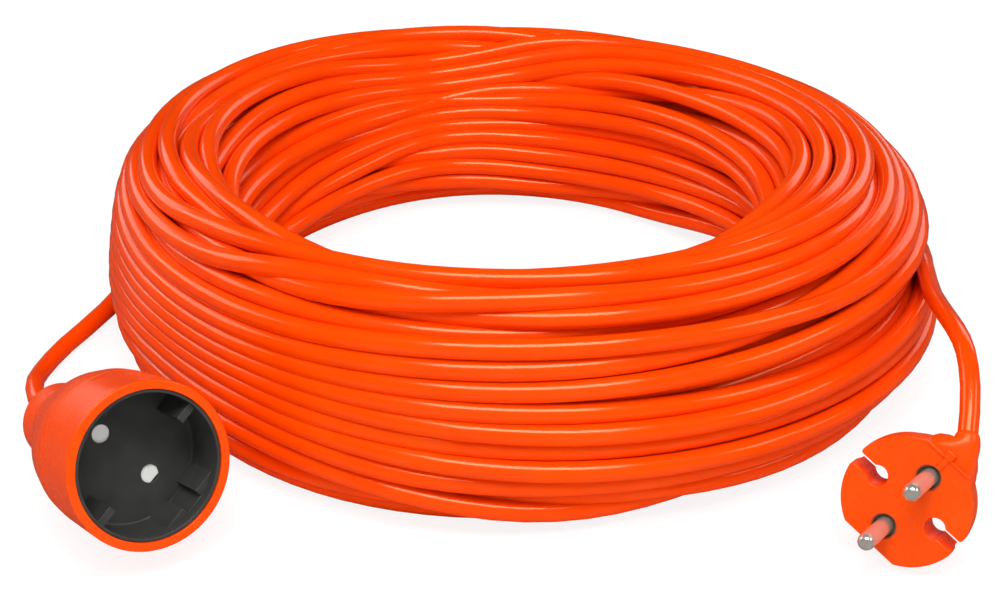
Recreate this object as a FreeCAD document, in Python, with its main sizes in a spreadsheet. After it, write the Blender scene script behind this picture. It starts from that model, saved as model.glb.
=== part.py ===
import FreeCAD, Part
import math
import os
import Sketcher
from FreeCAD import Placement, Rotation, Vector

# Extension cord: a 50 m hank of two-core cord lying on its side, with a round
# trailing socket at one end and a flat round plug at the other.
# Millimetres, +Z up, the floor at z = 0, the front towards -Y.

doc = FreeCAD.newDocument("extension_cord")
sheet = doc.addObject("Spreadsheet::Sheet", "sizes")

named_values = [
    # cord and hank
    ("cord_diameter", 6.2),
    ("core_diameter", 2.2),
    ("strand_diameter", 1.1),
    ("hank_x", 3.8),
    ("hank_y", 20.15),
    ("hank_radius", 104.0),
    ("hank_half_width", 30.0),
    ("hank_half_height", 32.3),
    ("hank_squareness", 2.6),
    ("hank_right_growth", 3.8),
    ("hank_front_growth", 7.6),
    ("hank_oval_x", 2.07),
    ("hank_oval_xy", 1.0),
    ("hank_turns", 7.0),
    ("hank_start_angle", 168.0),
    ("hank_end_angle", 8.0),
    ("hank_start_height", 8.0),
    ("hank_end_height", 30.0),
    ("hank_wander", 0.9),
    ("hank_flat_share", 0.1),
    ("hank_filler_gap", 0.6),
    # plug
    ("plug_x", 107.6),
    ("plug_y", -151.3),
    ("plug_z", 19.9),
    ("plug_yaw", -26.2),
    ("plug_tilt", 15.9),
    ("plug_roll", 59.0),
    ("plug_radius", 18.3),
    ("plug_thickness", 10.5),
    ("plug_rear_round", 3.0),
    ("plug_front_round", 0.5),
    ("plug_flat_cut", 2.2),
    ("keyhole_offset", 10.4),
    ("keyhole_radius", 2.9),
    ("keyhole_slit", 3.7),
    ("pin_spacing", 19.0),
    ("pin_radius", 2.4),
    ("pin_length", 19.0),
    ("pin_tip_round", 2.1),
    ("pin_recess_radius", 3.5),
    ("pin_recess_depth", 2.5),
    ("pin_seat_radius", 2.6),
    ("pin_tail_radius", 1.9),
    ("pin_tail_length", 3.2),
    ("bridge_half_length", 14.0),
    ("bridge_half_width", 4.5),
    ("bridge_thickness", 3.5),
    ("neck_end_x", 25.5),
    ("neck_end_y", 2.5),
    ("neck_end_z", -8.0),
    ("neck_base_half_width", 8.6),
    ("neck_base_half_thickness", 5.0),
    ("neck_end_radius", 4.6),
    ("seam_width", 0.8),
    ("seam_rise", 0.4),
    ("seam_root", 0.3),
    ("rib_half_width", 0.9),
    ("rib_rise", 0.7),
    ("rib_overrun", 1.4),
    ("knob_half_width", 1.3),
    ("knob_rise", 1.0),
    ("wire_gap", 0.7),
    ("core_spread", 1.2),
    # trailing socket
    ("socket_x", -95.9),
    ("socket_y", -150.5),
    ("socket_z", 31.7),
    ("socket_yaw", 33.0),
    ("socket_tilt", 15.5),
    ("socket_roll", -52.4),
    ("socket_rim_radius", 23.5),
    ("socket_shoulder_radius", 22.5),
    ("socket_shoulder_depth", 37.0),
    ("socket_rim_chamfer", 0.8),
    ("groove_depth", 32.2),
    ("groove_width", 0.8),
    ("groove_cut", 0.6),
    ("socket_neck_radius", 10.5),
    ("socket_neck_start", 57.5),
    ("socket_length", 72.0),
    ("socket_neck_round", 3.0),
    ("insert_radius", 21.2),
    ("insert_lip_drop", 0.6),
    ("well_radius", 20.45),
    ("well_depth", 17.0),
    ("well_floor_thickness", 2.5),
    ("pin_hole_radius", 2.6),
    ("key_block_face", 16.3),
    ("key_block_channel", 5.0),
    ("key_block_half_width", 9.8),
    ("key_block_height", 13.0),
    ("key_block_chamfer", 2.6),
    ("guide_rib_width", 1.3),
    ("guide_rib_reach", 2.3),
    ("guide_rib_height", 15.0),
    ("guide_pocket_half_width", 5.0),
    ("guide_pocket_reach", 4.2),
    ("guide_pocket_depth", 1.4),
    ("root_overlap", 0.5),
    ("wall_left", 0.9),
    ("carrier_depth", 33.0),
    ("carrier_block_depth", 39.4),
    ("carrier_block_half_length", 14.0),
    ("carrier_block_half_width", 6.0),
    ("contact_outer_radius", 3.1),
    ("contact_play", 0.02),
    ("contact_bottom", 36.8),
    ("contact_slit", 0.9),
    ("contact_tail_radius", 1.3),
    ("contact_tail_end", 42.5),
    ("chamber_play", 0.3),
    ("shutter_half_length", 11.75),
    ("shutter_half_width", 3.5),
    ("shutter_thickness", 1.9),
    ("shutter_ramp_drop", 1.0),
    ("shutter_stroke", 6.2),
    ("shutter_play", 0.05),
    ("spring_length", 10.0),
    ("spring_strip", 0.25),
    ("spring_height", 1.5),
    ("spring_half_span", 3.2),
    ("spring_lift", 0.25),
    ("contact_lead_in", 0.4),
    ("chamber_end_gap", 0.8),
]
for row, (alias, value) in enumerate(named_values, start=1):
    sheet.set(f"A{row}", alias)
    sheet.set(f"B{row}", str(value))
    sheet.setAlias(f"B{row}", alias)
doc.recompute()


class Size:
    # a number from the sheet together with the expression that gives it
    def __init__(self, value, text):
        self.value = value
        self.text = text

    def __float__(self):
        return float(self.value)

    def __add__(self, other):
        return Size(float(self) + float(other), f"({self.text} + {text_of(other)})")

    def __sub__(self, other):
        return Size(float(self) - float(other), f"({self.text} - {text_of(other)})")

    def __mul__(self, other):
        return Size(float(self) * float(other), f"({self.text} * {text_of(other)})")

    def __truediv__(self, other):
        return Size(float(self) / float(other), f"({self.text} / {text_of(other)})")

    def __neg__(self):
        return Size(-float(self), f"(0 - {self.text})")


def text_of(value):
    return value.text if isinstance(value, Size) else repr(float(value))


def size(alias):
    return Size(sheet.get(alias), f"sizes.{alias}")


def bind(thing, name, value):
    if isinstance(value, Size):
        thing.setExpression(name, value.text)
    else:
        setattr(thing, name, value)


# Sketches and features


def new_body(label):
    body = doc.addObject("PartDesign::Body", label)
    body.Label = label
    return body


def origin_part(body, role):
    return next(part for part in body.Origin.OriginFeatures if part.Role == role)


def new_sketch(body, role, name, lift=None):
    # a sketch on one of the body's own origin planes, lifted along its normal
    sketch = body.newObject("Sketcher::SketchObject", name)
    sketch.AttachmentSupport = (origin_part(body, role), [""])
    sketch.MapMode = "FlatFace"
    if lift is not None:
        sketch.AttachmentOffset = Placement(Vector(0, 0, float(lift)), Rotation())
        if isinstance(lift, Size):
            sketch.setExpression("AttachmentOffset.Base.z", lift.text)
    return sketch


def pin_point(sketch, shape_index, end, x, y):
    # fixes one point of a sketch at (x, y) from the origin
    for kind, value in (("DistanceX", x), ("DistanceY", y)):
        rule = Sketcher.Constraint(kind, -1, 1, shape_index, end, float(value))
        index = sketch.addConstraint(rule)
        name = f"{kind}_{shape_index}_{end}"
        sketch.renameConstraint(index, name)
        if isinstance(value, Size):
            sketch.setExpression(f"Constraints.{name}", value.text)


def outline(sketch, corners):
    # a closed outline of straight lines through the corners
    count = len(corners)
    places = [Vector(float(x), float(y), 0) for x, y in corners]
    first = sketch.GeometryCount
    for i in range(count):
        sketch.addGeometry(Part.LineSegment(places[i], places[(i + 1) % count]), False)
    for i in range(count):
        sketch.addConstraint(Sketcher.Constraint("Coincident", first + i, 2, first + (i + 1) % count, 1))
    for i, (x, y) in enumerate(corners):
        pin_point(sketch, first + i, 1, x, y)


def box_outline(sketch, x1, x2, y1, y2):
    outline(sketch, [(x1, y1), (x2, y1), (x2, y2), (x1, y2)])


def circle(sketch, x, y, radius):
    centre = Vector(float(x), float(y), 0)
    index = sketch.addGeometry(Part.Circle(centre, Vector(0, 0, 1), float(radius)), False)
    pin_point(sketch, index, 3, x, y)
    rule = sketch.addConstraint(Sketcher.Constraint("Radius", index, float(radius)))
    name = f"Radius_{index}"
    sketch.renameConstraint(rule, name)
    if isinstance(radius, Size):
        sketch.setExpression(f"Constraints.{name}", radius.text)


def feature(body, kind, name, sketch):
    made = body.newObject(f"PartDesign::{kind}", name)
    made.Profile = sketch
    sketch.Visibility = False
    return made


def pad(body, name, sketch, length, reverse=False, both=False):
    made = feature(body, "Pad", name, sketch)
    bind(made, "Length", length)
    made.Reversed = reverse
    made.Midplane = both
    doc.recompute()
    return made


def pocket(body, name, sketch, length=None, reverse=False, both=False):
    before = body.Shape.Volume
    made = feature(body, "Pocket", name, sketch)
    made.Reversed = reverse
    made.Midplane = both
    if length is None:
        made.Type = "ThroughAll"
    else:
        bind(made, "Length", length)
    doc.recompute()
    if not body.Shape.Volume < before - 1e-3:
        raise RuntimeError(f"{name} cuts nothing")
    return made


def turned(body, name, corners, kind="Revolution"):
    # a solid of revolution about the body's Z axis; corners are (radius, z)
    sketch = new_sketch(body, "XZ_Plane", f"{name}_outline")
    outline(sketch, corners)
    made = feature(body, kind, name, sketch)
    made.ReferenceAxis = (origin_part(body, "Z_Axis"), [""])
    made.Angle = 360.0
    doc.recompute()
    return made


def edges_where(body, test):
    return [f"Edge{i}" for i, edge in enumerate(body.Shape.Edges, start=1) if test(edge)]


def ring_at(radius, z):
    def test(edge):
        curve = edge.Curve
        if not isinstance(curve, Part.Circle):
            return False
        return abs(curve.Radius - float(radius)) < 0.01 and abs(curve.Center.z - float(z)) < 0.01

    return test


def dress(body, kind, name, test, amount):
    # a fillet or a chamfer on the edges that pass the test
    edges = edges_where(body, test)
    base = body.Tip
    made = body.newObject(f"PartDesign::{kind}", name)
    made.Base = (base, edges)
    bind(made, "Radius" if kind == "Fillet" else "Size", amount)
    doc.recompute()
    return made


# Places of the plug and the socket

hank_centre = Vector(float(size("hank_x")), float(size("hank_y")), 0)


def facing(name):
    # local Z out of the face, local X along the line of the two pins
    yaw, tilt, roll = (math.radians(float(size(f"{name}_{turn}"))) for turn in ("yaw", "tilt", "roll"))
    out = Vector(math.cos(tilt) * math.sin(yaw), -math.cos(tilt) * math.cos(yaw), math.sin(tilt))
    side = Vector(math.cos(yaw), math.sin(yaw), 0)
    rise = out.cross(side)
    line = side * math.cos(roll) + rise * math.sin(roll)
    across = out.cross(line)
    base = hank_centre + Vector(*(float(size(f"{name}_{axis}")) for axis in "xyz"))
    return Placement(base, Rotation(line, across, out, "ZXY"))


plug_place = facing("plug")
socket_place = facing("socket")
kept = []


def keep(thing, label, place=None):
    # the object becomes a node of its own under this name
    thing.Label = label
    if place is not None:
        thing.Placement = place
    kept.append(thing)
    return thing


# Tubes

cord_radius = float(size("cord_diameter")) / 2


def hexagon(centre, along, radius):
    # a six-sided section square to the tube, as wide across its corners as the tube
    side = along.cross(Vector(0, 0, 1))
    if side.Length < 1e-6:
        side = Vector(1, 0, 0)
    side.normalize()
    rise = side.cross(along)
    rise.normalize()
    points = []
    for k in range(6):
        turn = math.radians(60 * k)
        points.append(centre + side * (radius * math.cos(turn)) + rise * (radius * math.sin(turn)))
    return Part.makePolygon(points + [points[0]])


def bent_route(points, label):
    # straight runs joined by tangent arcs
    edges = []
    start = points[0]
    radii = []
    for before, corner, after in zip(points, points[1:], points[2:]):
        come = corner - before
        leave = after - corner
        turn = come.getAngle(leave)
        reach = 0.45 * min(come.Length, leave.Length)
        radius = reach / math.tan(turn / 2)
        radii.append(radius)
        come.normalize()
        leave.normalize()
        arc_start = corner - come * reach
        arc_end = corner + leave * reach
        inward = leave - come
        inward.normalize()
        centre_distance = math.hypot(radius, reach)
        middle = corner + inward * (centre_distance - radius)
        edges.append(Part.LineSegment(start, arc_start).toShape())
        edges.append(Part.Arc(arc_start, middle, arc_end).toShape())
        start = arc_end
    edges.append(Part.LineSegment(start, points[-1]).toShape())
    print(label, "bend radii", [round(r, 1) for r in radii])
    return Part.Wire(edges)


def tube_solid(path, section):
    solid = path.makePipeShell([section], True, False)
    if not solid.isValid() or solid.Volume <= 0:
        raise RuntimeError("tube is not a good solid")
    return solid


def tube(label, points, radius, place=None):
    # a tube as a node of its own along a bent route
    path = bent_route(points, label)
    along = points[1] - points[0]
    along.normalize()
    section = hexagon(points[0], along, radius)
    shape = tube_solid(path, section)
    area = Part.Face(section).Area
    ratio = shape.Volume / (area * path.Length)
    print(label, "length", round(path.Length, 1), "volume ratio", round(ratio, 4))
    thing = doc.addObject("Part::Feature", label)
    thing.Shape = shape
    return keep(thing, label, place)


# Plug

half_spacing = size("pin_spacing") / 2
thickness = size("plug_thickness")
bridge_top = -size("pin_recess_depth")
bridge_bottom = bridge_top - size("bridge_thickness")
tail_bottom = bridge_bottom - size("pin_tail_length")
wire_level = bridge_bottom - size("core_diameter") / 2 - size("wire_gap")
flat_offset = size("plug_radius") - size("plug_flat_cut")
neck_end = Vector(*(float(size(f"neck_end_{axis}")) for axis in "xyz"))
exit_way = Vector(0.62, 0.56, -0.55)
exit_way.normalize()


def contact_pin(label, x):
    body = new_body(label)
    turned(body, f"{label}_turned", [
        (0, tail_bottom),
        (size("pin_tail_radius"), tail_bottom),
        (size("pin_tail_radius"), bridge_bottom),
        (size("pin_seat_radius"), bridge_bottom),
        (size("pin_seat_radius"), bridge_top),
        (size("pin_radius"), bridge_top),
        (size("pin_radius"), size("pin_length") - size("pin_tip_round")),
        (size("pin_radius") * 0.82, size("pin_length") - size("pin_tip_round") * 0.4),
        (size("pin_radius") * 0.4, size("pin_length")),
        (0, size("pin_length")),
    ])
    sketch = new_sketch(body, "YZ_Plane", f"{label}_wire_hole_circle")
    circle(sketch, 0.0, wire_level, size("strand_diameter") / 2)
    pocket(body, f"{label}_wire_hole", sketch, size("pin_tail_radius") * 2 + 1, both=True)
    return keep(body, label, plug_place.multiply(Placement(Vector(x, 0, 0), Rotation())))


pin_live = contact_pin("pin_live", float(half_spacing))
pin_neutral = contact_pin("pin_neutral", -float(half_spacing))

pin_bridge = new_body("pin_bridge")
bridge_sketch = new_sketch(pin_bridge, "XY_Plane", "bridge_outline", bridge_top)
corner_cut = size("bridge_half_width") * 0.55
long_end = size("bridge_half_length")
wide_end = size("bridge_half_width")
outline(bridge_sketch, [
    (-long_end, -(wide_end - corner_cut)),
    (-(long_end - corner_cut), -wide_end),
    (long_end - corner_cut, -wide_end),
    (long_end, -(wide_end - corner_cut)),
    (long_end, wide_end - corner_cut),
    (long_end - corner_cut, wide_end),
    (-(long_end - corner_cut), wide_end),
    (-long_end, wide_end - corner_cut),
])
pad(pin_bridge, "bridge_plate", bridge_sketch, size("bridge_thickness"), reverse=True)
bridge_holes = new_sketch(pin_bridge, "XY_Plane", "bridge_hole_circles", bridge_top)
circle(bridge_holes, half_spacing, 0.0, size("pin_seat_radius"))
circle(bridge_holes, -half_spacing, 0.0, size("pin_seat_radius"))
pocket(pin_bridge, "bridge_holes", bridge_holes)
keep(pin_bridge, "pin_bridge", plug_place)

# cores and bared strands inside the plug, in the plug's own frame
level = float(wire_level)
spread = Vector(0, 0, 1).cross(exit_way)
spread.normalize()
spread *= float(size("core_spread"))
tail_side = float(size("pin_tail_radius"))
near_end = float(half_spacing) + tail_side + 0.8
far_end = -float(half_spacing) + tail_side + 0.8
core_radius = float(size("core_diameter")) / 2
strand_radius = float(size("strand_diameter")) / 2
plug_core_brown = tube("plug_core_brown", [
    neck_end + spread,
    neck_end + spread - exit_way * 5,
    Vector(17.0, 0.6, level),
    Vector(14.6, 0, level),
    Vector(near_end, 0, level),
], core_radius, plug_place)
plug_core_blue = tube("plug_core_blue", [
    neck_end - spread,
    neck_end - spread - exit_way * 5,
    Vector(16.0, -4.6, level),
    Vector(1.5, -4.6, level),
    Vector(-2.4, 0, level),
    Vector(far_end, 0, level),
], core_radius, plug_place)


def plug_strands(label, start, stop):
    strand = doc.addObject("Part::Cylinder", label)
    bind(strand, "Radius", size("strand_diameter") / 2)
    strand.Height = start - stop
    lying = Placement(Vector(stop, 0, level), Rotation(Vector(0, 1, 0), 90))
    return keep(strand, label, plug_place.multiply(lying))


strand_overrun = tail_side + 0.4
plug_strands_brown = plug_strands("plug_strands_brown", near_end, float(half_spacing) - strand_overrun)
plug_strands_blue = plug_strands("plug_strands_blue", far_end, -float(half_spacing) - strand_overrun)

# moulded plug body: disc with two flats, keyhole slots, pin recesses and a neck
plug_blank = new_body("plug_blank")
turned(plug_blank, "plug_disc", [
    (0, -thickness),
    (size("plug_radius"), -thickness),
    (size("plug_radius"), 0.0),
    (0, 0.0),
])
rear_ring = ring_at(size("plug_radius"), -thickness)
front_ring = ring_at(size("plug_radius"), 0.0)
dress(plug_blank, "Chamfer", "plug_rear_edge", rear_ring, size("plug_rear_round"))
dress(plug_blank, "Chamfer", "plug_front_edge", front_ring, size("plug_front_round"))
flats = new_sketch(plug_blank, "XY_Plane", "plug_flat_outlines", 1.0)
far_out = size("plug_radius") + 2
box_outline(flats, -far_out, -flat_offset, -far_out, far_out)
box_outline(flats, flat_offset, far_out, -far_out, far_out)
pocket(plug_blank, "plug_flats", flats)

# the neck: three sections from the disc's flat to the cord's exit


def neck_section(name, centre, along, half_width, half_thickness, corner):
    sketch = plug_blank.newObject("Sketcher::SketchObject", name)
    sketch.AttachmentSupport = (origin_part(plug_blank, "YZ_Plane"), [""])
    sketch.MapMode = "FlatFace"
    aim = Rotation(Vector(1, 0, 0), along)
    local = Rotation(Vector(0, 1, 0), Vector(0, 0, 1), Vector(1, 0, 0), "ZXY")
    back = local.inverted()
    sketch.AttachmentOffset = Placement(back.multVec(centre), back.multiply(aim).multiply(local))
    outline(sketch, [
        (-half_width, -(half_thickness - corner)),
        (-(half_width - corner), -half_thickness),
        (half_width - corner, -half_thickness),
        (half_width, -(half_thickness - corner)),
        (half_width, half_thickness - corner),
        (half_width - corner, half_thickness),
        (-(half_width - corner), half_thickness),
        (-half_width, half_thickness - corner),
    ])
    return sketch


mid_level = -float(thickness) / 2
end_half = size("neck_end_radius")
neck_thick = size("neck_base_half_thickness")
base_centre = Vector(float(flat_offset) - 3.1, 0, mid_level)
waist_centre = Vector(float(flat_offset) + 2.9, 0.3, mid_level - 0.5)
base_section = neck_section(
    "neck_base", base_centre, Vector(1, 0, 0),
    size("neck_base_half_width"), neck_thick, neck_thick * 0.3,
)
waist_section = neck_section(
    "neck_waist", waist_centre, Vector(1, 0.12, -0.12),
    size("neck_base_half_width") * 0.86, neck_thick, neck_thick * 0.5,
)
end_section = neck_section("neck_end", neck_end, exit_way, end_half, end_half, end_half * 0.55)
neck = plug_blank.newObject("PartDesign::AdditiveLoft", "neck")
neck.Profile = base_section
neck.Sections = [waist_section, end_section]
neck.Ruled = True
doc.recompute()

recesses = new_sketch(plug_blank, "XY_Plane", "pin_recess_circles", 0.0)
circle(recesses, half_spacing, 0.0, size("pin_recess_radius"))
circle(recesses, -half_spacing, 0.0, size("pin_recess_radius"))
pocket(plug_blank, "pin_recesses", recesses, size("pin_recess_depth"))
for side in (1, -1):
    name = "upper" if side > 0 else "lower"
    hole = new_sketch(plug_blank, "XY_Plane", f"{name}_keyhole_circle", 1.0)
    circle(hole, 0.0, size("keyhole_offset") * side, size("keyhole_radius"))
    pocket(plug_blank, f"{name}_keyhole", hole)
    slit = new_sketch(plug_blank, "XY_Plane", f"{name}_slit_outline", 1.0)
    half_slit = size("keyhole_slit") / 2
    box_outline(slit, -half_slit, half_slit, size("keyhole_offset") * side, far_out * side)
    pocket(plug_blank, f"{name}_slit", slit)

# raised seam lines of the moulding on the cable side of the face
seam = new_sketch(plug_blank, "XY_Plane", "seam_outline", -size("seam_root"))
seam_half = size("neck_base_half_width")
box_outline(seam, flat_offset - size("seam_width"), flat_offset, -seam_half, seam_half)
pad(plug_blank, "seam_ridge", seam, size("seam_root") + size("seam_rise"))
rib = new_sketch(plug_blank, "XY_Plane", "rib_outline", -size("seam_root"))
rib_start = half_spacing + size("pin_recess_radius") + 0.2
rib_half = size("rib_half_width")
box_outline(rib, rib_start, flat_offset + size("rib_overrun"), -rib_half, rib_half)
pad(plug_blank, "seam_rib", rib, size("seam_root") + size("rib_rise"))
knob = new_sketch(plug_blank, "XY_Plane", "knob_outline", -size("seam_root"))
knob_half = size("knob_half_width")
box_outline(knob, flat_offset - knob_half, flat_offset + knob_half, -knob_half, knob_half)
pad(plug_blank, "seam_knob", knob, size("seam_root") + size("knob_rise"))


def moulded_round(label, blank, inner):
    # the moulding encloses the inner pieces, so they are cut out of it
    shell = blank
    for piece in inner:
        left = doc.addObject("Part::Cut", f"{label}_round_{piece.Name}")
        left.Base = shell
        left.Tool = piece
        shell = left
    doc.recompute()
    return keep(shell, label)


plug_blank.Placement = plug_place
plug_body = moulded_round("plug_body", plug_blank, [
    pin_bridge, pin_live, pin_neutral,
    plug_core_brown, plug_core_blue, plug_strands_brown, plug_strands_blue,
])

# Trailing socket

floor_top = -size("well_depth")
floor_bottom = floor_top - size("well_floor_thickness")
shoulder = -size("socket_shoulder_depth")
groove_top = -size("groove_depth")
groove_low = groove_top - size("groove_width")
rim = size("socket_rim_radius")
back = size("socket_shoulder_radius")

insert = new_body("socket_insert")
turned(insert, "insert_cup", [
    (0, floor_bottom),
    (size("insert_radius"), floor_bottom),
    (size("insert_radius"), -size("insert_lip_drop")),
    (size("well_radius"), -size("insert_lip_drop")),
    (size("well_radius"), floor_top),
    (0, floor_top),
])
wall_middle = (size("well_radius") + size("insert_radius")) / 2
for end in (1, -1):
    for side in (1, -1):
        name = f"key_block_{'right' if end > 0 else 'left'}_{'upper' if side > 0 else 'lower'}"
        block = new_sketch(insert, "XY_Plane", f"{name}_outline", floor_top - size("root_overlap"))
        outline(block, [
            (size("key_block_face") * end, size("key_block_channel") / 2 * side),
            ((size("insert_radius") - 0.3) * end, size("key_block_channel") / 2 * side),
            ((size("insert_radius") - 2.57) * end, size("key_block_half_width") * side),
            (size("key_block_face") * end, size("key_block_half_width") * side),
        ])
        pad(insert, name, block, size("key_block_height") + size("root_overlap"))


def block_top_edge(edge):
    box = edge.BoundBox
    top = float(floor_top) + float(size("key_block_height"))
    flat = abs(box.ZMin - top) < 0.01 and abs(box.ZMax - top) < 0.01
    return flat and abs(abs(box.XMin) - float(size("key_block_face"))) < 0.01 and box.XLength < 0.01


dress(insert, "Chamfer", "key_block_chamfers", block_top_edge, size("key_block_chamfer"))
for side in (1, -1):
    name = "upper" if side > 0 else "lower"
    hollow = new_sketch(insert, "XY_Plane", f"{name}_guide_pocket_outline", floor_top)
    inner_edge = (size("well_radius") - size("guide_pocket_reach")) * side
    outer_edge = (size("well_radius") - size("wall_left")) * side
    pocket_half = size("guide_pocket_half_width")
    box_outline(hollow, -pocket_half, pocket_half, inner_edge, outer_edge)
    pocket(insert, f"{name}_guide_pocket", hollow, size("guide_pocket_depth"))
    guide_base = floor_top - size("guide_pocket_depth") - 0.2
    guide = new_sketch(insert, "XY_Plane", f"{name}_guide_rib_outline", guide_base)
    half_rib = size("guide_rib_width") / 2
    rib_edge = (size("well_radius") - size("guide_rib_reach")) * side
    box_outline(guide, -half_rib, half_rib, rib_edge, wall_middle * side)
    pad(insert, f"{name}_guide_rib", guide, size("guide_rib_height") + size("guide_pocket_depth"))
insert_holes = new_sketch(insert, "XY_Plane", "pin_hole_circles", floor_top)
circle(insert_holes, half_spacing, 0.0, size("pin_hole_radius"))
circle(insert_holes, -half_spacing, 0.0, size("pin_hole_radius"))
pocket(insert, "pin_holes", insert_holes, size("well_floor_thickness") + 1)
keep(insert, "socket_insert", socket_place)

# contact carrier: a plug of hard plastic behind the well with room for the shutter
slot_floor = floor_bottom - size("shutter_thickness") - size("shutter_play") * 2
chamber_bottom = -(size("contact_bottom") + size("chamber_end_gap"))
carrier = new_body("contact_carrier")
turned(carrier, "carrier_round", [
    (0, -size("carrier_depth")),
    (size("insert_radius"), -size("carrier_depth")),
    (size("insert_radius"), floor_bottom),
    (0, floor_bottom),
])
foot = new_sketch(carrier, "XY_Plane", "carrier_block_outline", -size("carrier_depth") + 1)
box_outline(foot, -size("carrier_block_half_length"), size("carrier_block_half_length"),
            -size("carrier_block_half_width"), size("carrier_block_half_width"))
pad(carrier, "carrier_block", foot, size("carrier_block_depth") - size("carrier_depth") + 1, reverse=True)
slot_half = size("shutter_half_length") + size("shutter_play")
slot_low = -(size("shutter_half_width") + size("shutter_play"))
slot_high = size("shutter_half_width") + size("shutter_stroke") + size("shutter_play")
slot = new_sketch(carrier, "XY_Plane", "shutter_slot_outline", floor_bottom)
box_outline(slot, -slot_half, slot_half, slot_low, slot_high)
pocket(carrier, "shutter_slot", slot, -(slot_floor - floor_bottom))
spring_end = size("shutter_half_width") + size("spring_length")
nest = new_sketch(carrier, "XY_Plane", "spring_nest_outline", floor_bottom)
nest_half = size("spring_half_span") + size("spring_strip") * 1.4 + size("chamber_play")
box_outline(nest, -nest_half, nest_half, slot_high - 1, spring_end)
pocket(carrier, "spring_nest", nest, -(slot_floor - floor_bottom))
chambers = new_sketch(carrier, "XY_Plane", "chamber_circles", slot_floor)
for side in (1, -1):
    circle(chambers, half_spacing * side, 0.0, size("contact_outer_radius") + size("chamber_play"))
pocket(carrier, "contact_chambers", chambers, slot_floor - chamber_bottom)
tail_holes = new_sketch(carrier, "XY_Plane", "tail_hole_circles", slot_floor)
for side in (1, -1):
    circle(tail_holes, half_spacing * side, 0.0, size("contact_tail_radius"))
pocket(carrier, "tail_holes", tail_holes)
keep(carrier, "contact_carrier", socket_place)


def socket_contact(label, x):
    # a sprung sleeve, split along one side, with a tail that takes the bared strands
    body = new_body(label)
    top = slot_floor - size("contact_lead_in")
    inner = size("pin_radius") + size("contact_play")
    turned(body, f"{label}_sleeve", [
        (0, -size("contact_tail_end")),
        (size("contact_tail_radius"), -size("contact_tail_end")),
        (size("contact_tail_radius"), chamber_bottom),
        (size("contact_outer_radius"), chamber_bottom),
        (size("contact_outer_radius"), top),
        (inner, top),
        (inner, -size("contact_bottom")),
        (0, -size("contact_bottom")),
    ])
    split = new_sketch(body, "XY_Plane", f"{label}_split_outline", top + 1)
    half_slit = size("contact_slit") / 2
    box_outline(split, -half_slit, half_slit, 0.0, size("contact_outer_radius") + 1)
    pocket(body, f"{label}_split", split, size("contact_bottom") + top - 1)
    bore = new_sketch(body, "XY_Plane", f"{label}_wire_bore_circle", -size("contact_tail_end") - 1)
    circle(bore, 0.0, 0.0, size("strand_diameter") / 2)
    pocket(body, f"{label}_wire_bore", bore, 4.0, reverse=True)
    return keep(body, label, socket_place.multiply(Placement(Vector(x, 0, 0), Rotation())))


contact_live = socket_contact("contact_live", float(half_spacing))
contact_neutral = socket_contact("contact_neutral", -float(half_spacing))

# child-proof shutter: a plate with a ramp that a pair of pins pushes aside
shutter = new_body("shutter")
shutter_top = floor_bottom - size("shutter_play")
shutter_low = shutter_top - size("shutter_thickness")
shutter_side = new_sketch(shutter, "YZ_Plane", "shutter_side_outline")
outline(shutter_side, [
    (-size("shutter_half_width"), shutter_low),
    (size("shutter_half_width"), shutter_low),
    (size("shutter_half_width"), shutter_top),
    (size("shutter_half_width") - 0.9, shutter_top),
    (-size("shutter_half_width"), shutter_top - size("shutter_ramp_drop")),
])
pad(shutter, "shutter_plate", shutter_side, size("shutter_half_length") * 2, both=True)
keep(shutter, "shutter", socket_place)

# return spring of bent strip between the shutter and the end of its nest
spring = new_body("shutter_spring")
spring_base = slot_floor + size("spring_lift")
strip = new_sketch(spring, "XY_Plane", "spring_outline", spring_base)
span = size("spring_half_span")
strip_width = size("spring_strip")
step = (size("spring_length") - 0.1) / 4
start_y = size("shutter_half_width") + 0.05
mitre = strip_width * 1.4
one_edge = []
other_edge = []
for k in range(5):
    x = span * (1 if k % 2 else -1)
    y = start_y + step * k
    one_edge.append((x - mitre, y))
    other_edge.append((x + mitre, y))
outline(strip, one_edge + other_edge[::-1])
pad(spring, "spring_strip_bent", strip, size("spring_height"))
keep(spring, "shutter_spring", socket_place)

tail_end = float(size("contact_tail_end"))
neck_exit = -float(size("socket_length"))


def socket_wires(colour, side):
    strand = doc.addObject("Part::Cylinder", f"socket_strands_{colour}")
    bind(strand, "Radius", size("strand_diameter") / 2)
    strand.Height = 4.0
    strand_base = Vector(side * float(half_spacing), 0, -tail_end - 1)
    keep(strand, f"socket_strands_{colour}", socket_place.multiply(Placement(strand_base, Rotation())))
    core = tube(f"socket_core_{colour}", [
        strand_base,
        Vector(side * float(half_spacing), 0, -tail_end - 4.5),
        Vector(side * 1.3, 0, -60.0),
        Vector(side * 1.3, 0, neck_exit),
    ], core_radius, socket_place)
    return strand, core


strands_brown, core_brown = socket_wires("brown", 1)
strands_blue, core_blue = socket_wires("blue", -1)

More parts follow.
